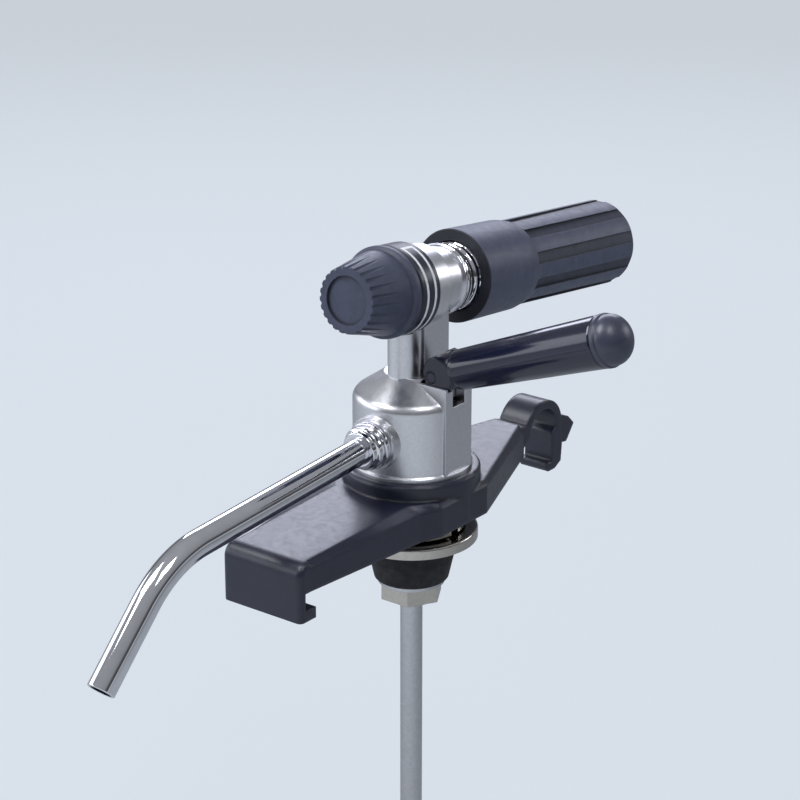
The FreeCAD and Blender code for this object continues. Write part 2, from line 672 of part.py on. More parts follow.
soften(body, "tab_corners", tab_pad, tab_corner, d.tab_round)
arm_tip = outline(body, "arm_tip", [
    (d.arm_end - 4, d.arm_end_low + 1), (d.arm_end + 1, d.arm_end_low + 1),
    (d.hook_y - arch_in, d.hook_z), (d.hook_y - arch_in, d.hook_z + d.tip_rise),
    (arch_left, d.arm_end_top - 1.2), (d.arm_end - 4, d.arm_end_top - 1.2)], role="YZ_Plane")
raised(body, "arm_tip_pad", arm_tip, d.hook_half * 2, both=True)
bevel_z = hub_top - d.hub_bevel
rear_far = outline(body, "rear_far", [
    (-d.arm_end_half, d.arm_end_low), (d.arm_end_half, d.arm_end_low),
    (d.arm_end_half, d.arm_end_top - d.arm_end_bevel), (d.arm_end_top_half, d.arm_end_top),
    (-d.arm_end_top_half, d.arm_end_top), (-d.arm_end_half, d.arm_end_top - d.arm_end_bevel)],
    base=(0, 0, -d.arm_end))
rear_near = outline(body, "rear_near", [
    (-d.hub_half, d.hub_low), (d.hub_half, d.hub_low), (d.hub_half, bevel_z),
    (d.hub_half - d.hub_bevel, hub_top), (-(d.hub_half - d.hub_bevel), hub_top),
    (-d.hub_half, bevel_z)], base=(0, 0, -d.hub_rear))
rear_arm = body.newObject("PartDesign::AdditiveLoft", "rear_arm")
rear_arm.Profile = rear_far
rear_arm.Sections = [rear_near]
rear_arm.Ruled = True
hub = outline(body, "hub", [
    (d.hub_front_half, -d.hub_front), (d.hub_half, -d.hub_facet), (d.hub_half, d.hub_rear),
    (-d.hub_half, d.hub_rear), (-d.hub_half, -d.hub_facet), (-d.hub_front_half, -d.hub_front)],
    role="XY_Plane", base=(0, 0, d.hub_low))
raised(body, "hub_pad", hub, d.hub_thick - d.hub_bevel)
hub_mid = outline(body, "hub_mid", [
    (d.hub_front_half, -d.hub_front), (d.hub_half, -d.hub_facet), (d.hub_half, d.hub_rear),
    (-d.hub_half, d.hub_rear), (-d.hub_half, -d.hub_facet), (-d.hub_front_half, -d.hub_front)],
    role="XY_Plane", base=(0, 0, bevel_z))
hub_flat = d.hub_half - d.hub_bevel
hub_crown = outline(body, "hub_crown", [
    (d.arm_top_half, -d.hub_front), (hub_flat, -d.hub_facet), (hub_flat, d.hub_rear),
    (-hub_flat, d.hub_rear), (-hub_flat, -d.hub_facet), (-d.arm_top_half, -d.hub_front)],
    role="XY_Plane", base=(0, 0, hub_top))
hub_bevels = body.newObject("PartDesign::AdditiveLoft", "hub_bevels")
hub_bevels.Profile = hub_mid
hub_bevels.Sections = [hub_crown]
hub_bevels.Ruled = True
front_near = outline(body, "front_near", [
    (-d.hub_front_half, d.hub_low), (d.hub_front_half, d.hub_low), (d.hub_front_half, bevel_z),
    (d.arm_top_half, hub_top), (-d.arm_top_half, hub_top), (-d.hub_front_half, bevel_z)],
    base=(0, 0, d.hub_front))
front_far = outline(body, "front_far", [
    (-d.foot_half, d.hub_low), (d.foot_half, d.hub_low), (d.foot_half, d.foot_top - d.foot_bevel),
    (d.foot_half - d.foot_bevel, d.foot_top), (-(d.foot_half - d.foot_bevel), d.foot_top),
    (-d.foot_half, d.foot_top - d.foot_bevel)], base=(0, 0, d.foot_front - d.foot_deep))
front_arm = body.newObject("PartDesign::AdditiveLoft", "front_arm")
front_arm.Profile = front_near
front_arm.Sections = [front_far]
front_arm.Ruled = True
lip_end = -(rim_wall - d.foot_lip)
foot_rear = -(d.foot_front - d.foot_deep)
foot = outline(body, "foot", [
    (-d.foot_front, d.foot_low), (lip_end, d.foot_low), (lip_end, rim_floor),
    (-rim_wall, rim_floor), (-rim_wall, d.hub_low), (foot_rear, d.hub_low),
    (foot_rear, d.foot_top), (-d.foot_front, d.foot_top)],
    role="YZ_Plane")
foot_pad = raised(body, "foot_pad", foot, d.foot_half * 2, both=True)
foot_crown = soften(
    body, "foot_crown", foot_pad, straight("x", y=d.foot_front, z=d.foot_top), d.foot_edge)


def foot_side_edge(edge):
    place = middle(edge)
    if not near(abs(place.x), d.foot_half):
        return False
    over_rim = place.z > d.hub_low.value + 1 and place.y < foot_rear.value - 0.1
    return over_rim or near(place.y, -d.foot_front)


soften(body, "foot_sides", foot_crown, foot_side_edge, d.foot_round)
collar = lathe(body, "collar", [
    (0, d.hub_low + 1), (d.collar_radius, d.hub_low + 1), (d.collar_radius, body_seat),
    (0, body_seat)])
collar_edge = soften(
    body, "collar_edge", collar, rim_at(d.collar_radius, body_seat), d.collar_round)
lathe(body, "bridge_bore", [
    (0, d.hub_low - 1), (d.bridge_bore, d.hub_low - 1), (d.bridge_bore, body_seat + 1),
    (0, body_seat + 1)], cut=True)

# Tap body: one casting with spigot, lever block, neck, barrel and spout boss
body = start("tap_body")
shell = lathe(body, "shell", [
    (0, d.flange_thick), (d.spigot_radius, d.flange_thick), (d.spigot_radius, body_seat),
    (d.body_radius + d.body_lip, body_seat),
    (d.body_radius + d.body_lip, body_seat + d.body_lip_tall),
    (d.body_radius, body_seat + d.body_lip_tall + d.body_lip), (d.body_radius, wall_top),
    (d.dome_top_radius, dome_top), (0, dome_top)])
shoulder = soften(body, "shoulder", shell, rim_at(d.body_radius, wall_top), d.shoulder_round)
block_foot = body_seat + d.body_lip_tall
block = outline(body, "block", [
    (d.block_start, -d.block_half), (block_face, -d.block_half),
    (block_face, d.block_half), (d.block_start, d.block_half)],
    role="XY_Plane", base=(0, 0, block_foot))
raised(body, "block_pad", block, d.block_top - block_foot)
face = outline(body, "face", [
    (block_face, -d.block_half), (d.body_radius + 3, -d.block_half),
    (d.body_radius + 3, d.block_half), (block_face, d.block_half)],
    role="XY_Plane", base=(0, 0, d.block_top))
raised(body, "face_cut", face, d.block_top - block_foot, cut=True)
cheek = d.head_half + d.turn_gap
lever_room = outline(body, "lever_room", [
    (slot_end, -cheek), (d.body_radius + 3, -cheek), (d.body_radius + 3, cheek),
    (slot_end, cheek)], role="XY_Plane", base=(0, 0, dome_top + 1))
raised(body, "lever_room_cut", lever_room, dome_top + 1 - d.rest_top, cut=True)
web = outline(body, "web", [
    (-d.web_half, -d.web_front), (d.web_half, -d.web_front), (d.web_half, d.web_rear),
    (-d.web_half, d.web_rear)], role="XY_Plane", base=(0, 0, wall_top - 2))
raised(body, "web_pad", web, d.head_z - wall_top + 2)
column = circle(body, "column", 0, -d.column_y, d.column_radius,
                role="XY_Plane", base=(0, 0, wall_top - 2))
raised(body, "column_pad", column, d.head_z - wall_top + 2)
lathe(body, "dial_room", [
    (0, d.band_front), (d.dial_radius + d.turn_gap, d.band_front),
    (d.dial_radius + d.turn_gap, d.knob_bore_end), (0, d.knob_bore_end)],
    cut=True, **head_sketch)
slot = outline(body, "slot", [
    (slot_end, -d.slot_half), (d.body_radius + 3, -d.slot_half),
    (d.body_radius + 3, d.slot_half), (slot_end, d.slot_half)],
    role="XY_Plane", base=(0, 0, d.block_top + 1))
raised(body, "slot_cut", slot, d.block_top + 1 - d.slot_low, cut=True)
lathe(body, "barrel", [
    (0, -d.barrel_rear), (d.barrel_radius, -d.barrel_rear), (d.barrel_radius, -d.band_rear),
    (d.band_radius, -d.band_rear), (d.band_radius, d.band_front), (0, d.band_front)],
    **head_sketch)
lathe(body, "regulator_bore", [
    (0, d.band_front + 1), (d.regulator_bore, d.band_front + 1),
    (d.regulator_bore, d.ledge), (d.ledge_bore, d.ledge),
    (d.ledge_bore, -d.regulator_deep), (0, -d.regulator_deep)], cut=True, **head_sketch)
lathe(body, "stub_bore", [
    (0, -(d.barrel_rear + 1)), (d.stub_thread + d.fit_gap, -(d.barrel_rear + 1)),
    (d.stub_thread + d.fit_gap, -(d.barrel_rear - d.stub_deep)),
    (d.gas_bore, -(d.barrel_rear - d.stub_deep)), (d.gas_bore, 0), (0, 0)],
    cut=True, **head_sketch)
lathe(body, "boss", [
    (0, boss_face / 2), (d.boss_radius, boss_face / 2), (d.boss_radius, boss_face),
    (0, boss_face)], **spout_sketch)
tube_start = boss_face - d.spout_socket
lathe(body, "spout_channel", [
    (0, 0), (d.channel, 0), (d.channel, tube_start - d.seal_thick),
    (d.boss_bore, tube_start - d.seal_thick), (d.boss_bore, boss_face + 1),
    (0, boss_face + 1)], cut=True, **spout_sketch)
lathe(body, "dip_channel", [
    (0, d.flange_thick - 1), (d.carrier_thread + d.fit_gap, d.flange_thick - 1),
    (d.carrier_thread + d.fit_gap, d.gas_room_top), (tube_fit, d.gas_room_top),
    (tube_fit, d.ring_z - d.ring_wire), (d.dip_radius + d.ring_wire * 2, d.ring_z - d.ring_wire),
    (d.dip_radius + d.ring_wire * 2, d.ring_z + d.ring_wire), (tube_fit, d.ring_z + d.ring_wire),
    (tube_fit, d.dip_top), (d.dip_bore, d.dip_top), (d.dip_bore, d.inlet_z + d.inlet + d.drill_past),
    (0, d.inlet_z + d.inlet + d.drill_past)], cut=True)
lathe(body, "valve_chamber", [
    (0, d.inlet_z - d.inlet - d.drill_past),
    (d.seat_bore + 0.6, d.inlet_z - d.inlet - d.drill_past),
    (d.seat_bore + 0.6, d.seat_low), (d.valve_bore, d.seat_low),
    (d.valve_bore, d.slot_low + 1), (0, d.slot_low + 1)], cut=True, **valve_place)
inlet = circle(body, "inlet", 0, d.inlet_z, d.inlet, role="YZ_Plane")
raised(body, "inlet_cut", inlet, valve_x, cut=True, back=True)
outlet = circle(body, "outlet", 0, d.spout_z, d.inlet, role="YZ_Plane")
raised(body, "outlet_cut", outlet, valve_x, cut=True, back=True)
lathe(body, "gas_channel", [
    (0, 0), (d.gas_bore, 0), (d.gas_bore, d.gas_long), (0, d.gas_long)], cut=True,
    role="XY_Plane", base=(0, d.gas_y, d.gas_room_top - 1), turn=90 + d.gas_lean)

# Spout: bent tube, the nut that holds it and the ring that seals it
body = start("spout_tube")


def along_run(distance):
    """Point of the straight first run, at a distance from the tap's axis."""
    return (-(cosine(d.spout_drop) * distance), d.spout_z - sine(d.spout_drop) * distance)


steep = d.spout_drop + d.spout_turn
corner_at = d.spout_corner / cosine(d.spout_drop)
tangent = d.spout_bend * Size(
    "tan(" + d.spout_turn.text + " / 2)", math.tan(math.radians(d.spout_turn.value / 2)))
run_start = along_run(tube_start)
run_end = along_run(corner_at - tangent)
bend = along_run(corner_at)
fall_start = (bend[0] - cosine(steep) * tangent, bend[1] - sine(steep) * tangent)
fall_end = (bend[0] - cosine(steep) * d.spout_run, bend[1] - sine(steep) * d.spout_run)
hinge_point = (run_end[0] + sine(d.spout_drop) * d.spout_bend,
               run_end[1] - cosine(d.spout_drop) * d.spout_bend)
spine = new_sketch(body, "spine", role="YZ_Plane")


def spot(pair):
    return FreeCAD.Vector(pair[0].value, pair[1].value, 0)


arc_angles = (90 + d.spout_drop.value, 90 + steep.value)
arc = Part.ArcOfCircle(
    Part.Circle(spot(hinge_point), FreeCAD.Vector(0, 0, 1), d.spout_bend.value),
    math.radians(arc_angles[0]), math.radians(arc_angles[1]))
spine.addGeometry([Part.LineSegment(spot(run_start), spot(run_end)), arc,
                   Part.LineSegment(spot(fall_start), spot(fall_end))], False)
spine.addConstraint(Sketcher.Constraint("Coincident", 0, 2, 1, 1))
spine.addConstraint(Sketcher.Constraint("Coincident", 1, 2, 2, 1))
bind(spine, 0, 1, *run_start)
bind(spine, 0, 2, *run_end)
bind(spine, 2, 1, *fall_start)
bind(spine, 2, 2, *fall_end)
number = spine.addConstraint(Sketcher.Constraint("Radius", 1, d.spout_bend.value))
spine.setExpression("Constraints[%d]" % number, d.spout_bend.text)
section = new_sketch(body, "section", role="XY_Plane",
                     base=(0, run_start[0], run_start[1]), turn=90 + d.spout_drop)
for place, radius in enumerate((d.spout_radius, d.spout_bore)):
    section.addGeometry(
        Part.Circle(FreeCAD.Vector(0, 0, 0), FreeCAD.Vector(0, 0, 1), radius.value), False)
    section.addConstraint(Sketcher.Constraint("Coincident", place, 3, -1, 1))
    number = section.addConstraint(Sketcher.Constraint("Radius", place, radius.value))
    section.setExpression("Constraints[%d]" % number, radius.text)
doc.recompute()
pipe = body.newObject("PartDesign::AdditivePipe", "pipe")
pipe.Profile = section
pipe.Spine = (spine, ["Edge1", "Edge2", "Edge3"])
lathe(body, "tube_collar", [
    (d.spout_radius - 0.3, tube_start), (d.boss_bore - d.fit_gap, tube_start),
    (d.boss_bore - d.fit_gap, tube_start + d.spout_flange),
    (d.spout_radius - 0.3, tube_start + d.spout_flange)], **spout_sketch)

body = start("spout_nut", **spout_place)
nut_bore = d.spout_radius + d.fit_gap
nut_rear = tube_start + d.spout_flange
collet = lathe(body, "collet", [
    (nut_bore, nut_rear), (d.boss_bore - d.fit_gap, nut_rear),
    (d.boss_bore - d.fit_gap, boss_face), (d.collet_radius, boss_face),
    (d.collet_radius, boss_face + d.collet_step), (d.collet_small, boss_face + d.collet_step),
    (d.collet_small, boss_face + d.collet_step * 1.5),
    (d.collet_mid, boss_face + d.collet_step * 1.5),
    (d.collet_mid, boss_face + d.collet_step * 2.3),
    (d.collet_small, boss_face + d.collet_long), (nut_bore, boss_face + d.collet_long)])
soften(body, "collet_edge", collet, rim_at(d.collet_radius, boss_face + d.collet_step),
       d.collet_round)

body = start("spout_seal", **spout_place)
lathe(body, "seal", [
    (d.spout_bore, tube_start - d.seal_thick), (d.boss_bore - d.fit_gap, tube_start - d.seal_thick),
    (d.boss_bore - d.fit_gap, tube_start), (d.spout_bore, tube_start)])

# Valve: seat ring, plug, stem with the lever's eye, spring, gland and its ring
seat_top = d.seat_low + d.seat_thick
plug_top = seat_top + d.plug_thick
shoe_top = plug_top + d.shoe_thick
gland_low = d.slot_low - d.gland_long
body = start("valve_seat", **valve_place)
lathe(body, "seat", [
    (d.seat_bore, d.seat_low), (d.valve_bore - d.fit_gap, d.seat_low),
    (d.valve_bore - d.fit_gap, seat_top), (d.seat_bore, seat_top)])

body = start("valve_plug", **valve_place)
lathe(body, "plug", [
    (0, seat_top), (d.plug_radius, seat_top), (d.plug_radius, plug_top),
    (d.tang_radius + d.fit_gap, plug_top), (d.tang_radius + d.fit_gap, plug_top - d.tang_long),
    (0, plug_top - d.tang_long)])

body = start("valve_stem", **valve_place)
lathe(body, "rod", [
    (0, plug_top - d.tang_long), (d.tang_radius, plug_top - d.tang_long),
    (d.tang_radius, plug_top), (d.plug_radius, plug_top), (d.plug_radius, shoe_top),
    (d.stem_radius, shoe_top), (d.stem_radius, d.eye_low + 1), (0, d.eye_low + 1)])
eye = outline(body, "eye", [
    (-d.eye_radius, d.eye_low), (d.eye_radius, d.eye_low),
    (d.eye_radius, d.pin_z + d.eye_radius), (-d.eye_radius, d.pin_z + d.eye_radius)])
eye_pad = raised(body, "eye_pad", eye, d.eye_half * 2, both=True)
eye_round = soften(body, "eye_round", eye_pad,
                   straight("y", x=d.eye_radius, z=d.pin_z + d.eye_radius),
                   d.eye_radius - d.arch_ease)
eye_hole = circle(body, "eye_hole", 0, d.pin_z, d.pin_radius + d.run_gap)
raised(body, "eye_bore", eye_hole, d.eye_half * 3, cut=True, both=True)

body = start("valve_spring", **valve_place)
spring_room = gland_low - shoe_top - d.valve_wire * 2
coil(body, "winding", d.valve_coil, shoe_top + d.valve_wire, d.valve_wire, d.valve_pitch,
     spring_room)

body = start("valve_gland", **valve_place)
gland_bore = d.stem_radius + d.run_gap
groove_out = d.stem_radius + d.stem_wire * 2
lathe(body, "gland", [
    (gland_bore, gland_low), (d.valve_bore - d.fit_gap, gland_low),
    (d.valve_bore - d.fit_gap, d.slot_low), (gland_bore, d.slot_low),
    (gland_bore, d.stem_ring_z + d.stem_wire), (groove_out, d.stem_ring_z + d.stem_wire),
    (groove_out, d.stem_ring_z - d.stem_wire), (gland_bore, d.stem_ring_z - d.stem_wire)])

body = start("stem_ring", **valve_place)
ring(body, "seal", d.stem_radius + d.stem_wire, d.stem_ring_z, d.stem_wire)

# Lever, drawn along its own length: local Z runs out along the grip, local X points down
body = start("lever_handle", **lever_place)


def cam_point(angle):
    """Underside of the head where it rides on the block, the lever pressed by an angle."""
    drop = d.cam_flat + d.cam_nose * (angle * (math.pi / 180))
    ahead = d.cam_nose * cosine(angle) + drop * sine(angle)
    up = d.cam_nose * sine(angle) - drop * cosine(angle)
    along = ahead * cosine(d.lever_rise) + up * sine(d.lever_rise)
    below = ahead * sine(d.lever_rise) - up * cosine(d.lever_rise)
    return (below, along)


head_back = d.head_centre - d.head_round
flat_back = (d.cam_flat * sine(d.lever_rise) + head_back) / cosine(d.lever_rise)
heel = flat_back * sine(d.lever_rise) + d.cam_flat * cosine(d.lever_rise)
cam = [cam_point(d.lever_swing * step / 4) for step in range(1, 5)]
cam_start = (cam_point(d.lever_swing * 0)[0], cam_point(d.lever_swing * 0)[1])
profile = outline(body, "head", [
    (heel, head_back), cam_start] + cam + [
    (cam[3][0], d.head_long), (-d.head_round, d.head_long), (-d.head_round, head_back)])
head_pad = raised(body, "head_pad", profile, d.head_half * 2, both=True)


def head_corner(edge):
    if not hasattr(edge.Curve, "Direction"):
        return False
    place = middle(edge)
    return near(place.x, -d.head_round) and near(place.z, head_back) and near(place.y, 0)


head_top = soften(body, "head_top", head_pad, head_corner, d.head_round - d.arch_ease)


def heel_corner(edge):
    if not hasattr(edge.Curve, "Direction"):
        return False
    place = middle(edge)
    return near(place.x, heel) and near(place.z, head_back) and near(place.y, 0)


soften(body, "head_heel", head_top, heel_corner, d.heel_round)
lathe(body, "grip", [
    (0, d.grip_start), (d.grip_neck, d.grip_start), (d.grip_neck, d.grip_clear),
    (d.grip_radius, d.grip_full), (d.grip_tip, d.grip_end),
    (d.cap_spigot + d.fit_gap, d.grip_end), (d.cap_spigot + d.fit_gap, d.grip_end - d.cap_socket),
    (0, d.grip_end - d.cap_socket)])
fork = outline(body, "fork", [
    (d.head_round * 2, head_back - 1), (d.head_round * 2, d.fork_deep),
    (-d.head_round * 2, d.fork_deep), (-d.head_round * 2, head_back - 1)])
raised(body, "fork_cut", fork, d.fork_half * 2, cut=True, both=True)
pin_hole = circle(body, "pin_hole", 0, 0, d.pin_radius + d.fit_gap)
raised(body, "pin_bore", pin_hole, d.head_half * 3, cut=True, both=True)

body = start("lever_pin", **lever_place)
pin = raised(body, "pin", circle(body, "pin", 0, 0, d.pin_radius), d.head_half * 2, both=True)
soften(body, "pin_ends", pin, lambda edge: near(abs(middle(edge).y), d.head_half), d.pin_bevel,
       chamfer=True)

body = start("lever_end_cap", **lever_place)
cap_top = d.grip_end + d.cap_bead_long + d.cap_dome_tall
cap = lathe(body, "cap", [
    (0, d.grip_end - d.cap_spigot_long), (d.cap_spigot, d.grip_end - d.cap_spigot_long),
    (d.cap_spigot, d.grip_end), (d.cap_bead, d.grip_end),
    (d.cap_bead, d.grip_end + d.cap_bead_long), (d.cap_dome, d.grip_end + d.cap_bead_long),
    (d.cap_dome, cap_top), (0, cap_top)])
soften(body, "cap_round", cap, rim_at(d.cap_dome, cap_top), d.cap_dome_tall - d.arch_ease)

# Regulator: knob, dial ring, bonnet, spindle, plates, spring and diaphragm
body = start("regulator_knob", **head_place)
skirt_end = d.knob_rear + d.skirt_long
knob = lathe(body, "knob", [
    (d.knob_bore, d.knob_rear), (d.skirt_radius, d.knob_rear), (d.skirt_radius, skirt_end),
    (d.cone_rear_radius, skirt_end + d.skirt_slope), (d.cone_front_radius, d.knob_front),
    (d.recess_radius, d.knob_front), (d.recess_radius, d.knob_front - d.recess_deep),
    (0, d.knob_front - d.recess_deep), (0, d.knob_bore_end + d.spindle_hole),
    (d.spindle_radius + d.run_gap, d.knob_bore_end + d.spindle_hole),
    (d.spindle_radius + d.run_gap, d.knob_bore_end), (d.knob_bore, d.knob_bore_end)])
soften(
    body, "knob_skirt", knob,
    lambda edge: rim_at(d.skirt_radius, d.knob_rear)(edge) or rim_at(d.skirt_radius, skirt_end)(edge),
    d.skirt_round)
flute = circle(body, "flute", 0, d.flute_centre, d.knob_flute_radius,
               role="XY_Plane", base=(0, 0, d.knob_front + 1))
flute_cut = raised(body, "flute_cut", flute, d.knob_flute_long + 1, cut=True)
flute_cut.UseCustomVector = True
flute_cut.Direction = FreeCAD.Vector(0, d.flute_slope.value, -1)
patterned(body, "flutes", flute_cut, d.knob_flutes)

body = start("dial_ring", **head_place)
web_end = d.band_front + d.dial_web
dial = lathe(body, "dial", [
    (d.dial_web_bore, d.band_front), (d.dial_radius, d.band_front), (d.dial_radius, d.dial_front),
    (d.dial_bore, d.dial_front), (d.dial_bore, web_end), (d.dial_web_bore, web_end)])
soften(body, "dial_edges", dial,
       lambda edge: rim_at(d.dial_radius, d.band_front)(edge) or rim_at(d.dial_radius, d.dial_front)(edge),
       d.dial_bevel, chamfer=True)

body = start("regulator_bonnet", **head_place)
bonnet_rear = d.ledge + d.piston_thick
flange_front = web_end + d.bonnet_flange_thick
lathe(body, "bonnet", [
    (d.bonnet_bore, bonnet_rear), (d.regulator_bore - d.fit_gap, bonnet_rear),
    (d.regulator_bore - d.fit_gap, web_end), (d.bonnet_flange, web_end),
    (d.bonnet_flange, flange_front), (d.bonnet_nose, flange_front),
    (d.bonnet_nose, d.bonnet_front), (d.spindle_radius + d.run_gap, d.bonnet_front),
    (d.spindle_radius + d.run_gap, d.bonnet_front - d.bonnet_wall),
    (d.bonnet_bore, d.bonnet_front - d.bonnet_wall)])

body = start("adjusting_spindle", **head_place)
spindle = lathe(body, "spindle", [
    (0, d.plate_front), (d.spindle_radius, d.plate_front), (d.spindle_radius, d.spindle_front),
    (0, d.spindle_front)])
soften(body, "spindle_end", spindle, rim_at(d.spindle_radius, d.spindle_front), d.pin_bevel,
       chamfer=True)

body = start("spring_plate", **head_place)
lathe(body, "plate", [
    (0, d.plate_front - d.plate_thick), (d.plate_radius, d.plate_front - d.plate_thick),
    (d.plate_radius, d.plate_front), (0, d.plate_front)])

body = start("diaphragm", **head_place)
lathe(body, "disc", [
    (0, d.ledge), (d.regulator_bore - d.turn_gap, d.ledge),
    (d.regulator_bore - d.turn_gap, bonnet_rear), (0, bonnet_rear)])

body = start("diaphragm_plate", **head_place)
lathe(body, "plate", [
    (0, bonnet_rear), (d.plate_radius, bonnet_rear), (d.plate_radius, bonnet_rear + d.plate_thick),
    (0, bonnet_rear + d.plate_thick)])

body = start("regulator_spring", **head_place)
spring_seat = bonnet_rear + d.plate_thick
coil(body, "winding", d.spring_mean, spring_seat + d.spring_wire, d.spring_wire, d.spring_pitch,
     d.plate_front - d.plate_thick - spring_seat - d.spring_wire * 2)

# Piercing stub with its thread crests, the needle and the cartridge gasket
body = start("piercing_stub", **head_place)
stub_front = -(d.barrel_rear - d.stub_deep)
crests = []
for turn_number in range(5):
    crest = -(d.stub_thread_front + d.stub_pitch * turn_number)
    crests += [(d.stub_root, crest + d.crest_half * 2), (d.stub_radius, crest + d.crest_half),
               (d.stub_radius, crest - d.crest_half), (d.stub_root, crest - d.crest_half * 2)]
stub = lathe(body, "stub", [
    (d.gas_bore, stub_front), (d.stub_thread, stub_front), (d.stub_thread, -d.barrel_rear),
    (d.stub_flange_radius, -d.barrel_rear), (d.stub_flange_radius, -d.stub_flange_rear),
    (d.stub_relief, -d.stub_flange_rear), (d.stub_relief, crests[0][1])] + crests + [
    (d.stub_root, -d.stub_rear), (d.neck_bore, -d.stub_rear), (d.neck_bore, -d.neck_bore_end),
    (d.needle_radius + d.fit_gap, -d.neck_bore_end),
    (d.needle_radius + d.fit_gap, stub_front - d.needle_seat), (d.gas_bore, stub_front - d.needle_seat)])

body = start("piercing_needle", **head_place)
lathe(body, "needle", [
    (d.needle_hole, stub_front - d.needle_seat), (d.needle_radius, stub_front - d.needle_seat),
    (d.needle_radius, -d.neck_bore_end), (d.point_radius, -d.neck_bore_end),
    (d.point_radius, cart_front - d.point_long), (d.needle_hole, cart_front - d.point_long * 2)])

body = start("cartridge_gasket", **head_place)
lathe(body, "gasket", [
    (d.point_radius + d.fit_gap, cart_front), (d.neck_bore - d.fit_gap, cart_front),
    (d.neck_bore - d.fit_gap, -d.neck_bore_end), (d.point_radius + d.fit_gap, -d.neck_bore_end)])

# Gas cartridge, pierced, and the sleeve that carries it
body = start("gas_cartridge", **head_place)
shoulder_top = cart_front - d.cart_neck_long
shoulder_low = shoulder_top - d.cart_shoulder
pierced = d.point_radius + d.run_gap * 4
bottle = lathe(body, "bottle", [
    (pierced, cart_front), (d.cart_neck, cart_front), (d.cart_neck, shoulder_top),
    (d.cart_radius, shoulder_low), (d.cart_radius, cart_rear), (0, cart_rear),
    (0, cart_rear + d.cart_wall), (d.cart_radius - d.cart_wall, cart_rear + d.cart_wall),
    (d.cart_radius - d.cart_wall, shoulder_low - d.cart_wall / 2),
    (d.cart_neck - d.cart_wall, shoulder_top - d.cart_wall / 2),
    (d.cart_neck - d.cart_wall, cart_front - d.point_long * 3),
    (pierced, cart_front - d.point_long * 3)])
soften(body, "bottle_end", bottle, rim_at(d.cart_radius, cart_rear), d.cart_wall * 2)

body = start("cartridge_sleeve", **head_place)
band_end = -(d.sleeve_front + d.sleeve_band_long)
sleeve = lathe(body, "sleeve", [
    (d.sleeve_bore, -d.sleeve_front), (d.sleeve_front_radius, -d.sleeve_front),
    (d.sleeve_band_radius, band_end), (d.sleeve_grip_radius, band_end - d.sleeve_step),
    (d.sleeve_rear_radius, sleeve_rear), (0, sleeve_rear),
    (0, sleeve_rear + d.sleeve_end_wall), (d.sleeve_bore, sleeve_rear + d.sleeve_end_wall)])
sleeve_soft = soften(
    body, "sleeve_edges", sleeve,
    lambda edge: rim_at(d.sleeve_rear_radius, sleeve_rear)(edge), d.sleeve_round)
sleeve_rim = soften(
    body, "sleeve_rim", sleeve_soft, rim_at(d.sleeve_front_radius, -d.sleeve_front), d.dial_bevel)
flute_far = d.sleeve_rear_radius - d.flute_shallow
flute_near = d.sleeve_grip_radius - d.flute_deep
flute_run = d.sleeve_long - d.flute_start + 1
long_flute = outline(body, "long_flute", [
    (-d.flute_half, flute_far), (d.flute_half, flute_far),
    (d.flute_half, d.sleeve_rear_radius * 1.3), (-d.flute_half, d.sleeve_rear_radius * 1.3)],
    role="XY_Plane", base=(0, 0, sleeve_rear - 1))
flute_pocket = raised(body, "flute_pocket", long_flute, flute_run, cut=True)
flute_pocket.UseCustomVector = True
flute_pocket.Direction = FreeCAD.Vector(0, (flute_near.value - flute_far.value) / flute_run.value, 1)
patterned(body, "long_flutes", flute_pocket, d.sleeve_flutes)

doc.recompute()
pieces = [item for item in doc.Objects if item.TypeId == "PartDesign::Body"]
for item in doc.Objects:
    if "Invalid" in item.State or "Error" in item.State:
        raise RuntimeError("not built: " + item.Label)
for piece in pieces:
    if piece.Shape.isNull() or not piece.Shape.isValid():
        raise RuntimeError("shape not valid: " + piece.Label)
    if len(piece.Shape.Solids) != 1:
        raise RuntimeError("not one solid: " + piece.Label)
for piece in pieces:
    piece.Shape.exportStep("parts/" + piece.Label + ".step")
    box = piece.Shape.BoundBox
    print("%-18s volume %9.1f  x %7.2f %7.2f  y %7.2f %7.2f  z %7.2f %7.2f" % (
        piece.Label, piece.Shape.Volume, box.XMin, box.XMax, box.YMin, box.YMax, box.ZMin, box.ZMax))
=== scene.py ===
import json
import math

import bmesh
import bpy
from mathutils import Matrix, Vector


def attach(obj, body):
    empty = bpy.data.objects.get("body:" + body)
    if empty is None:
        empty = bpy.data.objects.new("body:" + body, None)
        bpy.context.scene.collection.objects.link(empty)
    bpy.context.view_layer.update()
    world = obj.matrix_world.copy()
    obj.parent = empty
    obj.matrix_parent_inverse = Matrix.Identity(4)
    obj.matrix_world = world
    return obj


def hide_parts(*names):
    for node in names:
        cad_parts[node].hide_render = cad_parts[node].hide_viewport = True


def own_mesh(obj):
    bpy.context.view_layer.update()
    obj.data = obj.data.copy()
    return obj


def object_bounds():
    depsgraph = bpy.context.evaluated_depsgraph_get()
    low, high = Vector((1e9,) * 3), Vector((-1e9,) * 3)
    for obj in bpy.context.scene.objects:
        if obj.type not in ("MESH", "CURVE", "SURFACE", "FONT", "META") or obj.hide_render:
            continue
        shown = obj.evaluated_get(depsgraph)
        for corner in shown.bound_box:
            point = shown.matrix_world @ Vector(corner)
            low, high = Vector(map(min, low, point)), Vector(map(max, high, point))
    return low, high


# Looks of the mini keg tap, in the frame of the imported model:
# +Z up, -Y towards the spout, +X towards the lever.
# The tap's sizes are in millimetres here. Axes, floor, lamps and camera are placed in metres.

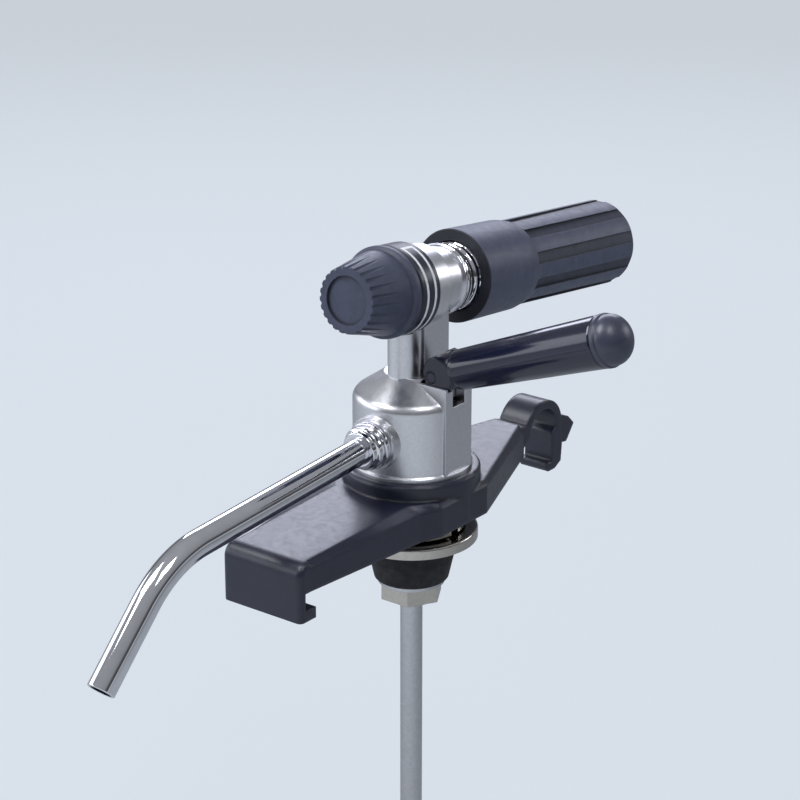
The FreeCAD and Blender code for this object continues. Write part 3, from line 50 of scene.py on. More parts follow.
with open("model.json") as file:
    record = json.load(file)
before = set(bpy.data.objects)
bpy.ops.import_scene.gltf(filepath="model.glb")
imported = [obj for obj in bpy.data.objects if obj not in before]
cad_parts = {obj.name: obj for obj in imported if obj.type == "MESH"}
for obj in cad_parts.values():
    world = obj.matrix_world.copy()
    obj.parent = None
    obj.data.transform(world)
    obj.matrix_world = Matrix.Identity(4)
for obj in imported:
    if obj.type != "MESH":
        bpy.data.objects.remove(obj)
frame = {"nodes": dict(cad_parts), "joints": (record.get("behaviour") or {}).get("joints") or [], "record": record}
cad_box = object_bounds()

MM = 0.001
FULL_TURN = 2 * math.pi


# Axes of the turned pieces: two start from the frame's joints, the spout's from its height

def joint(name):
    return next(j for j in frame["joints"] if j["name"] == name)


class Axis:
    """A line through the tap. A point on it is (reach, angle, radius) in millimetres."""

    def __init__(self, origin, along, up):
        self.origin = Vector(origin)
        self.along = Vector(along).normalized()
        self.side = Vector(up).cross(self.along).normalized()
        self.up = self.along.cross(self.side)

    def point(self, reach, angle=0.0, radius=0.0):
        outward = self.up * math.cos(angle) + self.side * math.sin(angle)
        return self.origin + (self.along * reach + outward * radius) * MM

    def reach(self, spot):
        return (Vector(spot) - self.origin).dot(self.along) / MM


UP = (0, 0, 1)
LEVER_RISE = math.radians(21.3)
SPOUT_DROP = math.radians(3.9)
SPOUT_TURN = math.radians(41.6)
SPOUT_ORIGIN = (0, 0, 0.0426)
head = Axis(joint("knob_turn")["pos_m"], joint("knob_turn")["axis"], UP)
lever = Axis(joint("lever_press")["pos_m"], (math.cos(LEVER_RISE), 0, math.sin(LEVER_RISE)), UP)
spout = Axis(SPOUT_ORIGIN, (0, -math.cos(SPOUT_DROP), -math.sin(SPOUT_DROP)), UP)


# Mesh code

def placed(name, mesh, node, slot, sharp=32.0, finish=None):
    """Puts the mesh in the scene on a node's body, smooth but for its sharp edges."""
    thing = bpy.data.objects.new(name, mesh)
    bpy.context.scene.collection.objects.link(thing)
    mesh.shade_smooth()
    mesh.set_sharp_from_angle(angle=math.radians(sharp))
    mesh.materials.append(FINISHES[finish or slot])
    body = next(b for b, nodes in frame["record"]["behaviour"]["bodies"].items() if node in nodes)
    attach(thing, body)
    return thing


def eased(corners, closed=False, steps=5):
    """An outline whose corners (reach, radius, rounding) are rounded."""
    most = 0.48  # share of a side that one rounding may use
    line = []
    count = len(corners)
    for number, corner in enumerate(corners):
        spot = Vector(corner[:2])
        rounding = corner[2] if len(corner) > 2 else 0.0
        if rounding <= 0 or (not closed and number in (0, count - 1)):
            line.append(spot)
            continue
        back = Vector(corners[number - 1][:2]) - spot
        ahead = Vector(corners[(number + 1) % count][:2]) - spot
        half = back.angle(ahead) / 2
        length = min(rounding / math.tan(half), back.length * most, ahead.length * most)
        first = spot + back.normalized() * length
        last = spot + ahead.normalized() * length
        centre = spot + (back.normalized() + ahead.normalized()).normalized() * (
            length / math.cos(half))
        first, last = first - centre, last - centre
        sweep = first.angle(last)
        for step in range(steps + 1):
            part = step / steps
            line.append(centre + (first * math.sin((1 - part) * sweep)
                                  + last * math.sin(part * sweep)) / math.sin(sweep))
    return line


def skinned(name, rings, closed=False, capped=False):
    """A mesh through rings of points. A ring of one point closes an end, as a cap does."""
    points, faces, starts = [], [], []
    for ring in rings:
        starts.append(len(points))
        points.extend(ring)
    pairs = list(zip(range(len(rings)), range(1, len(rings))))
    if closed:
        pairs.append((len(rings) - 1, 0))
    for a, b in pairs:
        first, last = rings[a], rings[b]
        count = max(len(first), len(last))
        for i in range(count):
            j = (i + 1) % count
            corners = [starts[a] + i % len(first), starts[a] + j % len(first),
                       starts[b] + j % len(last), starts[b] + i % len(last)]
            faces.append(list(dict.fromkeys(corners)))
    if capped:
        faces.append(list(range(len(rings[0]))))
        faces.append([len(points) - 1 - i for i in range(len(rings[-1]))])
    mesh = bpy.data.meshes.new(name)
    mesh.from_pydata(points, [], faces)
    mesh.validate()
    return mesh


def circle(axis, reach, radius, sides):
    return [axis.point(reach, FULL_TURN * i / sides, radius) for i in range(sides)]


def turned(name, axis, line, closed=False, sides=96):
    """A mesh turned round the axis from an outline of (reach, radius)."""
    on_axis = 1e-6
    rings = [[axis.point(reach)] if radius < on_axis else circle(axis, reach, radius, sides)
             for reach, radius in line]
    return skinned(name, rings, closed)


def joined(name, *meshes):
    """One mesh from several, each a closed shell of its own."""
    points, faces = [], []
    for mesh in meshes:
        start = len(points)
        points.extend(v.co.copy() for v in mesh.vertices)
        faces.extend([start + i for i in p.vertices] for p in mesh.polygons)
    result = bpy.data.meshes.new(name)
    result.from_pydata(points, [], faces)
    return result


# Materials

def tinted(colour, *levels):
    """The same colour at each of the given levels."""
    return [tuple(c * level for c in colour) for level in levels]


def set_stops(ramp, stops):
    """Gives a colour ramp its stops (place from 0 to 1, colour or grey)."""
    while len(ramp.elements) < len(stops):
        ramp.elements.new(0.5)
    for element, (place, colour) in zip(ramp.elements, stops):
        element.position = place
        grey = isinstance(colour, (int, float))
        element.color = (colour, colour, colour, 1) if grey else (*colour, 1)


class Finish:
    """A node material. Its textures follow the object's own place, in millimetres."""

    def __init__(self, name, **sockets):
        self.material = bpy.data.materials.new(name)
        self.material.use_nodes = True
        self.tree = self.material.node_tree
        self.surface = self.tree.nodes["Principled BSDF"]
        self.bumps = None
        for socket, value in sockets.items():
            self.surface.inputs[socket.replace("_", " ")].default_value = value
        place = self.add("ShaderNodeTexCoord").outputs["Object"]
        scale = self.add("ShaderNodeMapping")
        scale.inputs["Scale"].default_value = (1 / MM, 1 / MM, 1 / MM)
        self.join(place, scale.inputs["Vector"])
        self.place = scale.outputs["Vector"]

    def add(self, kind, **settings):
        node = self.tree.nodes.new(kind)
        for key, value in settings.items():
            setattr(node, key, value)
        return node

    def join(self, output, socket):
        self.tree.links.new(output, socket)

    def noise(self, size, detail=3.0, rough=0.5, stretch=None):
        """Noise about that size; its grain runs along the largest of the three stretches."""
        place = self.place
        if stretch is not None:
            narrow = self.add("ShaderNodeMapping")
            narrow.inputs["Scale"].default_value = tuple(1 / s for s in stretch)
            self.join(place, narrow.inputs["Vector"])
            place = narrow.outputs["Vector"]
        node = self.add("ShaderNodeTexNoise")
        node.inputs["Scale"].default_value = 1 / size
        node.inputs["Detail"].default_value = detail
        node.inputs["Roughness"].default_value = rough
        self.join(place, node.inputs["Vector"])
        return node.outputs["Fac"]

    def along(self, letter):
        """The place along one of the tap's axes."""
        split = self.add("ShaderNodeSeparateXYZ")
        self.join(self.place, split.inputs["Vector"])
        return split.outputs[letter]

    def vector(self, operation, first, second=None):
        """A vector operation; its second vector, where it takes one, is a constant."""
        node = self.add("ShaderNodeVectorMath", operation=operation)
        if second is not None:
            node.inputs[1].default_value = second
        self.join(first, node.inputs[0])
        return node.outputs["Value" if operation in ("DOT_PRODUCT", "LENGTH") else "Vector"]

    def span(self, value, low, high):
        """0 up to the low value and 1 from the high one on."""
        node = self.add("ShaderNodeMapRange", clamp=True)
        node.inputs["From Min"].default_value = low
        node.inputs["From Max"].default_value = high
        self.join(value, node.inputs["Value"])
        return node.outputs["Result"]

    def blended(self, share, first, second):
        node = self.add("ShaderNodeMix")
        self.join(share, node.inputs["Factor"])
        self.join(first, node.inputs["A"])
        self.join(second, node.inputs["B"])
        return node.outputs["Result"]

    def ramp(self, factor, *stops):
        node = self.add("ShaderNodeValToRGB")
        set_stops(node.color_ramp, stops)
        self.join(factor, node.inputs["Fac"])
        return node.outputs["Color"]

    def colour(self, factor, *stops):
        self.join(self.ramp(factor, *stops), self.surface.inputs["Base Color"])

    def rough(self, factor, *stops):
        self.join(self.ramp(factor, *stops), self.surface.inputs["Roughness"])

    def relief(self, height, depth):
        """Adds a bump of that depth in millimetres to those already there."""
        node = self.add("ShaderNodeBump")
        node.inputs["Strength"].default_value = 1.0
        node.inputs["Distance"].default_value = depth * MM
        self.join(height, node.inputs["Height"])
        if self.bumps is not None:
            self.join(self.bumps, node.inputs["Normal"])
        self.bumps = node.outputs["Normal"]
        self.join(self.bumps, self.surface.inputs["Normal"])

    def painted_cavity_shade(self, distance, darkest, closed=0.45, open_air=0.96, local=True):
        """Darkens the colour as painted shade in grooves and corners about that wide, in millimetres."""
        shade = self.add("ShaderNodeAmbientOcclusion", samples=8, only_local=local)
        shade.inputs["Distance"].default_value = distance * MM
        self.darken(self.ramp(shade.outputs["AO"], (closed, darkest), (open_air, 1.0)))

    def past(self, axis, reach, blend):
        """0 before that reach along an axis of the tap and 1 past it."""
        level = axis.origin.dot(axis.along) / MM + reach
        return self.span(self.vector("DOT_PRODUCT", self.place, axis.along),
                         level - blend, level + blend)

    def flutes(self, axis, front, rear, floor, land, spread):
        """1 on the flute floors between two reaches of a sleeve that widens by spread."""
        apart = self.vector("SUBTRACT", self.place, axis.origin / MM)
        radius = self.vector("LENGTH", self.vector("CROSS_PRODUCT", apart, axis.along))
        reach = self.vector("DOT_PRODUCT", apart, axis.along)
        level = self.add("ShaderNodeMath", operation="MULTIPLY_ADD")
        level.inputs[1].default_value = spread
        self.join(reach, level.inputs[0])
        self.join(radius, level.inputs[2])
        inside = self.add("ShaderNodeMath", operation="COMPARE")
        inside.inputs[1].default_value = (front + rear) / 2
        inside.inputs[2].default_value = (front - rear) / 2
        self.join(reach, inside.inputs[0])
        both = self.add("ShaderNodeMath", operation="MULTIPLY")
        self.join(self.span(level.outputs[0], land, floor), both.inputs[0])
        self.join(inside.outputs[0], both.inputs[1])
        return both.outputs[0]

    def darken(self, level):
        """Multiplies the colour by that level."""
        node = self.add("ShaderNodeMix", data_type="RGBA", blend_type="MULTIPLY")
        factor, first, second = (node.inputs[number] for number in (0, 6, 7))
        factor.default_value = 1.0
        base = self.surface.inputs["Base Color"]
        self.join(base.links[0].from_socket, first)
        self.join(level, second)
        self.join(node.outputs[2], base)

    def soft_edges(self, radius):
        """Shades the sharp edges as if they were rounded to that radius in millimetres."""
        node = self.add("ShaderNodeBevel", samples=6)
        node.inputs["Radius"].default_value = radius * MM
        self.bumps = node.outputs["Normal"]
        self.join(self.bumps, self.surface.inputs["Normal"])


BARREL_FOOT = 79.0  # height where the neck passes into the barrel
BARREL_BLEND = 2.0
COAT_ROUGHNESS = 0.04
SLEEVE_MOUTH = -23.45  # the sleeve's front face, painted dark as shade, lies past this reach
MOUTH_BLEND = 0.08
MOUTH_PAINTED_SHADE = 0.16
FLUTE_ENDS = (-53.0, -117.2)  # reaches between which the sleeve's flute floors are painted darker as shade
FLUTE_FLOOR = 14.40
FLUTE_LAND = 14.80
FLUTE_SPREAD = 0.0082
FLUTE_PAINTED_SHADE = 0.5


def cast_chrome():
    """Satin casting with an orange-peel grain; the barrel above it is smoother."""
    finish = Finish("cast_chrome", Metallic=1.0)
    finish.soft_edges(0.4)
    low, high = tinted((0.76, 0.76, 0.79), 0.93, 1.04)
    finish.colour(finish.noise(1.1, 4.0, 0.65), (0.3, low), (0.7, high))
    # Painted shade: the colour darkens in slots, narrow gaps and where other parts come close.
    finish.painted_cavity_shade(8.0, 0.05, 0.05, 0.36, local=False)
    barrel = finish.span(finish.along("Z"), BARREL_FOOT - BARREL_BLEND,
                         BARREL_FOOT + BARREL_BLEND)
    grain = finish.noise(0.6, 3.0, 0.6)
    level = finish.ramp(finish.noise(3.0, 1.0), (0.0, 0.48), (1.0, 0.52))
    finish.rough(finish.noise(2.4, 3.0), (0.3, 0.28), (0.75, 0.35))
    finish.relief(finish.blended(barrel, grain, level), 0.016)
    finish.relief(finish.noise(9.0, 1.0), 0.012)
    return finish.material


def polished_chrome():
    """Bright chrome that waves a little."""
    finish = Finish("polished_chrome", Metallic=1.0)
    low, high = tinted((0.84, 0.84, 0.88), 0.95, 1.03)
    finish.colour(finish.noise(5.0, 2.0), (0.3, low), (0.7, high))
    finish.rough(finish.noise(3.0, 3.0), (0.3, 0.045), (0.8, 0.10))
    finish.relief(finish.noise(8.0, 1.0), 0.008)
    return finish.material


def turned_metal(name, colour, roughness):
    """Turned or drawn metal with faint marks."""
    finish = Finish(name, Metallic=1.0)
    finish.soft_edges(0.2)
    low, high = tinted(colour, 0.94, 1.04)
    finish.colour(finish.noise(1.5, 4.0), (0.3, low), (0.7, high))
    # Painted shade: the colour darkens in grooves, gaps and where other parts come close.
    finish.painted_cavity_shade(8.0, 0.06, 0.15, 0.5, local=False)
    finish.rough(finish.noise(1.6, 3.0), (0.3, roughness * 0.75), (0.75, roughness * 1.3))
    finish.relief(finish.noise(0.6, 2.0, 0.5, stretch=(3, 3, 0.4)), 0.02)
    return finish.material


def moulded(name, colour, roughness, grain_size, grain, edge=0.0, specular=0.5, coat=0.0,
            sleeve=False):
    """Moulded plastic: a little cloudiness, a fine texture and softened edges, with painted shade in grooves where
    the edges are softened; the sleeve also gets painted shade on its front face and flute floors.
    """
    finish = Finish(name, Specular_IOR_Level=specular, Coat_Weight=coat,
                    Coat_Roughness=COAT_ROUGHNESS)
    if edge > 0:
        finish.soft_edges(edge)
    low, high = tinted(colour, 0.85, 1.15)
    finish.colour(finish.noise(4.0, 5.0, 0.6), (0.3, low), (0.72, high))
    if edge > 0:
        # Painted shade in grooves and corners.
        finish.painted_cavity_shade(1.6, 0.2)
    finish.rough(finish.noise(2.2, 4.0), (0.3, roughness * 0.88), (0.75, roughness * 1.14))
    finish.relief(finish.noise(grain_size, 2.0), grain)
    if sleeve:
        # Painted shade: the sleeve's front face is darkened.
        painted_mouth_shade = finish.past(head, SLEEVE_MOUTH, MOUTH_BLEND)
        finish.darken(finish.ramp(painted_mouth_shade, (0.0, 1.0), (1.0, MOUTH_PAINTED_SHADE)))
        # Painted shade: the flute floors are darkened so that they look deeper.
        shaded_floors = finish.flutes(head, *FLUTE_ENDS, FLUTE_FLOOR, FLUTE_LAND, FLUTE_SPREAD)
        finish.darken(finish.ramp(shaded_floors, (0.0, 1.0), (1.0, FLUTE_PAINTED_SHADE)))
    return finish.material


def rubber():
    """Dull black rubber."""
    finish = Finish("black_rubber", Specular_IOR_Level=0.35)
    finish.soft_edges(0.3)
    low, high = (0.014, 0.014, 0.016), (0.03, 0.03, 0.033)
    finish.colour(finish.noise(3.0, 4.0), (0.3, low), (0.75, high))
    finish.rough(finish.noise(2.0, 3.0), (0.3, 0.62), (0.8, 0.85))
    finish.relief(finish.noise(0.5, 2.0), 0.02)
    return finish.material


def print_white():
    """White ink, a little uneven."""
    finish = Finish("print_white", Specular_IOR_Level=0.3)
    low, high = (0.76, 0.76, 0.78), (0.86, 0.86, 0.88)
    finish.colour(finish.noise(1.5, 3.0), (0.3, low), (0.7, high))
    finish.rough(finish.noise(1.0, 2.0), (0.3, 0.45), (0.7, 0.6))
    finish.relief(finish.noise(0.3, 2.0), 0.004)
    return finish.material


# Colour and roughness
METALS = {
    "nickel": ((0.60, 0.57, 0.52), 0.22),
    "brass": ((0.72, 0.53, 0.26), 0.24),
    "stainless": ((0.60, 0.60, 0.62), 0.22),
    "bare_steel": ((0.52, 0.53, 0.56), 0.30),
}
# Colour, roughness, size and depth of the grain, and what else the kind has
PLASTICS = {
    "black_pin": ((0.040, 0.045, 0.075), 0.32, 0.6, 0.01, {"edge": 0.2}),
    "black_moulding": ((0.011, 0.013, 0.032), 0.33, 0.5, 0.006, {"edge": 1.6, "specular": 0.7}),
    "dark_plastic": ((0.056, 0.064, 0.106), 0.44, 0.4, 0.03, {"edge": 0.25}),
    # The sleeve: the dark plastic made lighter as painted light, with painted shade on its mouth and flute floors.
    "sleeve_plastic_painted_light_and_shade": ((0.066, 0.075, 0.122), 0.46, 0.4, 0.03, {"edge": 0.25, "sleeve": True}),
    "dial_black": ((0.018, 0.021, 0.038), 0.34, 0.45, 0.008, {"edge": 0.3}),
    "gloss_black": ((0.007, 0.009, 0.030), 0.18, 9.0, 0.006, {"specular": 0.6, "coat": 0.4}),
    "head_black": ((0.010, 0.012, 0.034), 0.22, 9.0, 0.006,
                   {"edge": 1.8, "specular": 0.6, "coat": 0.2}),
    "cap_black": ((0.036, 0.042, 0.074), 0.36, 2.0, 0.004, {"specular": 0.8}),
}

FINISHES = {"chrome_casting": cast_chrome(), "chrome_tube": polished_chrome()}
for name, row in METALS.items():
    FINISHES[name] = turned_metal(name, *row)
for name, (*row, extra) in PLASTICS.items():
    FINISHES[name] = moulded(name, *row, **extra)
FINISHES["black_rubber"] = rubber()
FINISHES["print_white"] = print_white()

# Every carried node takes the finish of its material slot, but for the sleeve, which takes a lighter copy of the
# dark plastic as painted light, with painted shade on its mouth and flute floors
for part in frame["record"]["subparts"]:
    mesh = frame["nodes"][part["node"]].data
    mesh.materials.clear()
    mesh.materials.append(FINISHES[part["material_slot"]])
frame["nodes"]["cartridge_sleeve"].data.materials[0] = FINISHES["sleeve_plastic_painted_light_and_shade"]


# Spout: one tube, swept along its straight runs and the bend between them

SPOUT_START = 15.9
SPOUT_CORNER = 125.4 / math.cos(SPOUT_DROP)
SPOUT_BEND = 40.0
SPOUT_END = 45.6


def spout_path():
    """Stations (centre, outward normal in the tube's plane) from the body to the end."""
    steps = 40
    tangent = SPOUT_BEND * math.tan(SPOUT_TURN / 2)
    across = spout.up
    bend_start = spout.point(SPOUT_CORNER - tangent)
    stations = [(spout.point(SPOUT_START), across), (bend_start, across)]
    centre = bend_start - across * SPOUT_BEND * MM
    for step in range(1, steps + 1):
        turn = Matrix.Rotation(-SPOUT_TURN * step / steps, 3, Vector((-1, 0, 0)))
        outward = turn @ across
        stations.append((centre + outward * SPOUT_BEND * MM, outward))
    forward = spout.side.cross(stations[-1][1]).normalized()
    if forward.y > 0:
        forward = -forward
    stations.append((stations[-1][0] + forward * (SPOUT_END - tangent) * MM, stations[-1][1]))
    return stations, forward


def spout_tube():
    """The tube with a rounded lip, and the collar that the union nut draws in."""
    outside, inside, sides = 4.7, 3.7, 72
    lip, lip_steps, inner_bevel = 0.35, 6, 0.12
    collar_inside, collar_outside, collar_long, collar_round = 4.4, 5.5, 1.5, 0.1
    stations, forward = spout_path()

    def ring(centre, outward, radius):
        angles = [FULL_TURN * i / sides for i in range(sides)]
        return [centre + (outward * math.cos(t) + spout.side * math.sin(t)) * radius * MM
                for t in angles]

    last, outward = stations[-1]
    rings = [ring(c, n, outside) for c, n in stations[:-1]]
    for step in range(lip_steps + 1):
        t = math.pi / 2 * step / lip_steps
        rings.append(ring(last - forward * lip * (1 - math.sin(t)) * MM, outward,
                          outside - lip * (1 - math.cos(t))))
    rings.append(ring(last, outward, inside + inner_bevel))
    rings.append(ring(last - forward * inner_bevel * MM, outward, inside))
    rings += [ring(c, n, inside) for c, n in reversed(stations[:-1])]
    tube = skinned("tube", rings, closed=True)
    collar_end = SPOUT_START + collar_long
    collar = turned("collar", spout, eased([
        (SPOUT_START, collar_inside), (SPOUT_START, collar_outside, collar_round),
        (collar_end, collar_outside, collar_round), (collar_end, collar_inside)],
        closed=True), closed=True)
    thing = placed("spout_bent_tube", joined("spout_bent_tube", tube, collar), "spout_tube",
                   "chrome_tube")
    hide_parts("spout_tube")


def spout_nut():
    """Three stepped rings, each with a rolled edge, ahead of the cast boss."""
    tail, face, bore, shank = 17.4, 22.4, 4.74, 5.5
    outline = [
        (tail, bore), (tail, shank, 0.1), (face, shank, 0.05),
        (face, 8.4, 0.6), (face + 2.4, 8.4, 0.9), (face + 2.4, 7.0, 0.2), (face + 3.5, 6.9, 0.2),
        (face + 3.5, 7.8, 0.5), (face + 5.5, 7.8, 0.9), (face + 5.9, 6.9, 0.3),
        (face + 7.6, 6.7, 0.6), (face + 7.6, bore, 0.1)]
    thing = placed("spout_union_nut", turned("nut", spout, eased(outline, True), closed=True),
                   "spout_nut", "chrome_tube")
    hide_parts("spout_nut")


spout_tube()
spout_nut()


# Piercing stub: collar, relief and a rounded screw thread that really winds

def piercing_stub():
    sides, root, crest, pitch = 120, 11.4, 12.08, 3.2
    front, rear, steps = -18.2, -35.4, 86
    runout, fullness = 1.2, 0.6

    def thread_radius(reach, angle):
        phase = (reach / pitch + angle / FULL_TURN) % 1.0
        swell = max(0.0, math.cos((phase - 0.5) * FULL_TURN)) ** fullness
        ends = min(1.0, (front - reach) / runout, (reach - rear) / runout)
        return root + (crest - root) * swell * max(0.0, ends)

    # From the needle's seat forward round the shank, the collar and the relief
    rings = [circle(head, *spot, sides) for spot in eased([
        (-9.7, 1.0), (-9.7, 9.4, 0.3), (-14.3, 9.4, 0.05), (-14.3, 12.55, 0.35),
        (-15.3, 12.55, 0.3), (-15.6, 12.1, 0.15), (-15.9, 12.5, 0.25), (-17.6, 12.4, 0.5),
        (-17.7, 11.3, 0.1), (front, 11.35)])]
    angles = [FULL_TURN * i / sides for i in range(sides)]
    for step in range(1, steps):
        reach = front + (rear - front) * step / steps
        rings.append([head.point(reach, t, thread_radius(reach, t)) for t in angles])
    # The rear end, the bore for the cartridge's neck and the gas hole
    rings += [circle(head, *spot, sides) for spot in eased([
        (rear, root), (-36.0, 11.3, 0.4), (-36.0, 5.2, 0.3), (-25.0, 5.2), (-25.0, 2.04),
        (-11.8, 2.04), (-11.8, 1.0), (-9.8, 1.0)])]
    thing = placed("stub_with_thread", skinned("stub", rings, closed=True), "piercing_stub",
                   "chrome_tube", 40.0)
    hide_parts("piercing_stub")


piercing_stub()


# Wedge scale printed on the dial ring: two lines that close on each other round the ring

def wedge_print():
    skin, under, half, ring_radius = 15.72, 15.60, 0.58, 15.7
    first, last = math.radians(17), math.radians(330)
    low, wide, narrowing = 7.3, 12.3, 3.6
    edge = 1.15 / ring_radius

    def strip(start, end, steps, front, rear):
        """A thin raised band whose edges are given by functions of the angle."""
        rings = []
        for step in range(steps + 1):
            angle = start + (end - start) * step / steps
            a, b = front(angle), rear(angle)
            rings.append([head.point(a, angle, skin), head.point(b, angle, skin),
                          head.point(b, angle, under), head.point(a, angle, under)])
        return skinned("strip", rings, capped=True)

    def front_line(angle):
        return wide - (angle - first) / (last - first) * narrowing

    lines = [
        strip(first, last, 110, lambda t: front_line(t) + half, lambda t: front_line(t) - half),
        strip(first, last, 110, lambda t: low + half, lambda t: low - half),
        strip(first - edge, first, 3, lambda t: front_line(first) + half, lambda t: low - half),
    ]
    placed("dial_wedge_print", joined("wedge", *lines), "dial_ring", "dial_black",
           finish="print_white")


wedge_print()


# Lever: the carried head with a smooth turned grip, and the cap on its end

LEVER_SHARP = 28.0


def lever_head():
    """The head of the carried lever, cut off in the grip and narrowed to pass into it."""
    cut, neck, neck_end, widening, narrowed_from = 8.62, 6.7, 8.6, 0.55, 4.5
    source = frame["nodes"]["lever_handle"].data
    spots = [v.co.copy() for v in source.vertices]
    keep = [p for p in source.polygons if all(lever.reach(spots[i]) < cut for i in p.vertices)]
    for i in {i for p in keep for i in p.vertices}:
        reach = lever.reach(spots[i])
        middle = lever.point(reach)
        outward = spots[i] - middle
        most = (neck + max(0.0, neck_end - reach) * widening) * MM
        if reach > narrowed_from and outward.length > most:
            spots[i] = middle + outward.normalized() * most
    # Corners that share a place become one vertex
    index, points, faces = {}, [], []
    for polygon in keep:
        face = []
        for i in polygon.vertices:
            key = tuple(round(c, 7) for c in spots[i])
            if key not in index:
                index[key] = len(points)
                points.append(spots[i])
            face.append(index[key])
        if len(set(face)) > 2:
            faces.append(face)
    base = bpy.data.meshes.new("base")
    base.from_pydata(points, [], faces)
    # The cut is closed, out of sight in the grip
    shell = bmesh.new()
    shell.from_mesh(base)
    bmesh.ops.holes_fill(shell, edges=[e for e in shell.edges if e.is_boundary], sides=0)
    bmesh.ops.recalc_face_normals(shell, faces=shell.faces)
    shell.to_mesh(base)
    shell.free()
    return base


def lever_handle():
    """The grip runs from its neck to the cap's socket, whose wall closes the outline."""
    base = lever_head()
    grip = turned("grip", lever, eased([
        (7.0, 0.0), (7.0, 5.3), (7.8, 5.35, 0.3), (8.5, 6.9, 0.7), (10.0, 7.1, 2.0),
        (69.9, 8.95, 0.3), (70.55, 8.75, 0.4), (70.55, 5.05, 0.1), (63.3, 5.05), (63.3, 0.0)]))
    grip_thing = placed("lever_grip", grip, "lever_handle", "gloss_black", LEVER_SHARP)
    head_thing = placed("lever_head", base, "lever_handle", "gloss_black", LEVER_SHARP,
                        finish="head_black")
    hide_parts("lever_handle")
    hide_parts("lever_handle")


def lever_cap():
    """The spigot in the grip, the bead and the dome."""
    dome_foot, dome_radius, dome_tall, steps = 73.2, 8.6, 6.75, 24
    line = eased([
        (63.6, 0.0), (63.6, 5.0, 0.4), (70.6, 5.0), (70.6, 8.7, 0.15), (70.9, 9.1, 0.3),
        (72.3, 9.13, 0.5), (72.7, 8.6, 0.15), (dome_foot, dome_radius)])
    for step in range(1, steps + 1):
        t = math.pi / 2 * step / steps
        line.append((dome_foot + dome_tall * math.sin(t), dome_radius * math.cos(t)))
    thing = placed("lever_dome_cap", turned("cap", lever, line), "lever_end_cap", "gloss_black",
                   finish="cap_black")
    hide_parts("lever_end_cap")


lever_handle()
lever_cap()


# Hidden springs, smooth copies of the carried coils on the bodies of their nodes

SPRING_SHARP = 45.0


def spring(name, node):
    mesh = frame["nodes"][node].data.copy()
    mesh.materials.clear()
    slot = next(p["material_slot"] for p in frame["record"]["subparts"] if p["node"] == node)
    thing = placed(name, mesh, node, slot, SPRING_SHARP)
    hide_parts(node)
    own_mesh(thing)


spring("valve_spring_coil", "valve_spring")
spring("regulator_spring_coil", "regulator_spring")


# Floor, sky and lamps

FLOOR_LEVEL = cad_box[0][2] - 0.0005
FLOOR_RADIUS = 4.2
FLOOR_SIDES = 96
REFLECTION_GLOW_ENDS = (-500, 500)  # along Y, in millimetres, over which the floor's painted glow in reflections fades
PALE = (0.69, 0.745, 0.805)
CAMERA_SHARE = 0.76
GLOSSY_SHARE = 0.85
WALL_TINT = (0.95, 0.98, 1.05)
# Place from straight down to straight up, and how bright the wall is there
WALL = [(0.0, 0.30), (0.515, 0.45), (0.53, 0.06), (0.60, 0.07), (0.68, 0.26), (1.0, 0.36)]


def floor_finish():
    """Pale floor: part of its own colour shows evenly, the rest takes light and shadow; in reflections it glows as
    a painted reflection, brighter towards -Y and darker towards +Y.
    """
    finish = Finish("floor", Roughness=0.9, Specular_IOR_Level=0.1)
    low, high = tinted(PALE, 0.985, 1.01)
    finish.colour(finish.noise(260.0, 2.0), (0.3, low), (0.7, high))
    # Painted reflection: glossy rays see the floor glow, brighter towards -Y and darker towards +Y.
    near, middle, far = tinted(PALE, 0.85, 0.50, 0.26)
    painted_reflection_glow = finish.ramp(finish.span(finish.along("Y"), *REFLECTION_GLOW_ENDS),
                       (0.0, near), (0.5, middle), (1.0, far))
    rays = finish.add("ShaderNodeLightPath")
    shader = finish.surface.outputs["BSDF"]
    for kind, most, colour in (("Is Camera Ray", CAMERA_SHARE, None),
                               ("Is Glossy Ray", GLOSSY_SHARE, painted_reflection_glow)):
        glow = finish.add("ShaderNodeEmission")
        glow.inputs["Color"].default_value = (*PALE, 1)
        if colour is not None:
            finish.join(colour, glow.inputs["Color"])
        share = finish.add("ShaderNodeMath", operation="MULTIPLY")
        share.inputs[1].default_value = most
        finish.join(rays.outputs[kind], share.inputs[0])
        mix = finish.add("ShaderNodeMixShader")
        finish.join(share.outputs[0], mix.inputs["Fac"])
        finish.join(shader, mix.inputs[1])
        finish.join(glow.outputs["Emission"], mix.inputs[2])
        shader = mix.outputs["Shader"]
    finish.join(shader, finish.tree.nodes["Material Output"].inputs["Surface"])
    return finish.material


def disc(name, radius, level, sides):
    mesh = bpy.data.meshes.new(name)
    ring = [FULL_TURN * i / sides for i in range(sides)]
    rim = [(radius * math.cos(t), radius * math.sin(t), level) for t in ring]
    mesh.from_pydata(rim, [], [range(sides)])
    thing = bpy.data.objects.new(name, mesh)
    bpy.context.scene.collection.objects.link(thing)
    return thing


floor = disc("floor", FLOOR_RADIUS, FLOOR_LEVEL, FLOOR_SIDES)
floor.data.materials.append(floor_finish())


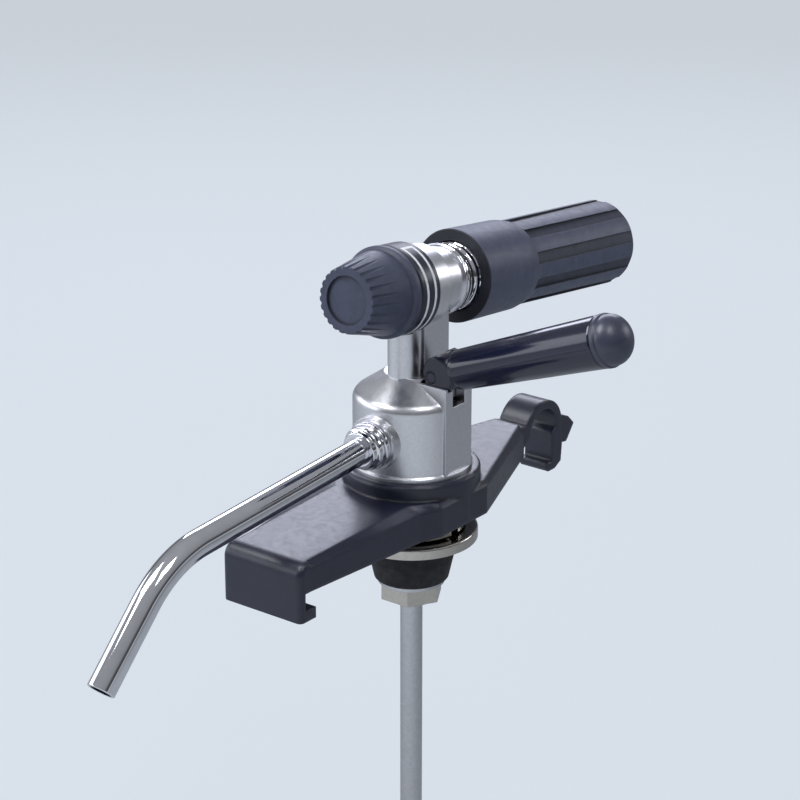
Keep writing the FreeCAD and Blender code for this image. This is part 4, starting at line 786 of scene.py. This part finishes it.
def sky():
    """Studio walls: pale low down, dark above, where the soft boxes stand out in chrome."""
    world = bpy.data.worlds.new("studio")
    bpy.context.scene.world = world
    world.use_nodes = True
    tree = world.node_tree
    background = tree.nodes["Background"]
    background.inputs["Strength"].default_value = 1.0
    place = tree.nodes.new("ShaderNodeTexCoord")
    split = tree.nodes.new("ShaderNodeSeparateXYZ")
    height = tree.nodes.new("ShaderNodeMapRange")
    height.inputs["From Min"].default_value = -1.0
    height.inputs["From Max"].default_value = 1.0
    ramp = tree.nodes.new("ShaderNodeValToRGB")
    set_stops(ramp.color_ramp, [(spot, tinted(WALL_TINT, grey)[0]) for spot, grey in WALL])
    tree.links.new(place.outputs["Generated"], split.inputs["Vector"])
    tree.links.new(split.outputs["Z"], height.inputs["Value"])
    tree.links.new(height.outputs["Result"], ramp.inputs["Fac"])
    tree.links.new(ramp.outputs["Color"], background.inputs["Color"])


sky()

AIM = Vector((0, 0, 0.06))
# Name, direction from the tap, distance, size, power and colour
LAMPS = [
    ("back_box", (-0.55, 0.74, 0.42), 1.5, (1.2, 0.5), 9.0, (0.82, 0.85, 1.0)),
    ("rear_right_box", (0.50, 0.80, 0.30), 1.5, (0.6, 0.3), 2.6, (0.92, 0.94, 1.0)),
    ("left_box", (-0.85, -0.45, 0.26), 1.5, (1.8, 0.6), 7.0, (0.88, 0.91, 1.0)),
    ("key_box", (-0.35, -0.45, 0.82), 1.2, (0.6, 0.6), 8.0, (0.95, 0.97, 1.0)),
    ("top_box", (0.48, -0.18, 0.85), 1.2, (0.4, 0.4), 3.2, (0.95, 0.97, 1.0)),
]


def lamp(name, towards, distance, size, power, colour):
    """A soft box that faces the tap from that direction."""
    light = bpy.data.lights.new(name, "AREA")
    light.shape = "RECTANGLE"
    light.size, light.size_y = size
    light.energy = power
    light.color = colour
    thing = bpy.data.objects.new(name, light)
    back = Vector(towards).normalized()
    thing.location = AIM + back * distance
    thing.rotation_euler = back.to_track_quat("Z", "Y").to_euler()
    thing.visible_camera = False
    bpy.context.scene.collection.objects.link(thing)


for row in LAMPS:
    lamp(*row)


# Camera at the photograph's viewpoint

CAMERA_PLACE = (0.4923, -0.6457, 0.3550)
CAMERA_BACK = (0.5714, -0.7417, 0.3512)
CAMERA_UP = (-0.2143, 0.2782, 0.9363)
CAMERA_SENSOR = 36.0
CAMERA_LENS = 112.5


def camera():
    lens = bpy.data.cameras.new("view")
    lens.sensor_width = CAMERA_SENSOR
    lens.lens = CAMERA_LENS
    lens.clip_start = 0.05
    lens.clip_end = 50.0
    thing = bpy.data.objects.new("view", lens)
    back = Vector(CAMERA_BACK).normalized()
    right = Vector(CAMERA_UP).cross(back).normalized()
    up = back.cross(right)
    turn = Matrix((right, up, back)).transposed().to_4x4()
    thing.matrix_world = Matrix.Translation(CAMERA_PLACE) @ turn
    bpy.context.scene.collection.objects.link(thing)
    bpy.context.scene.camera = thing


camera()
bpy.context.scene.view_settings.view_transform = "Standard"
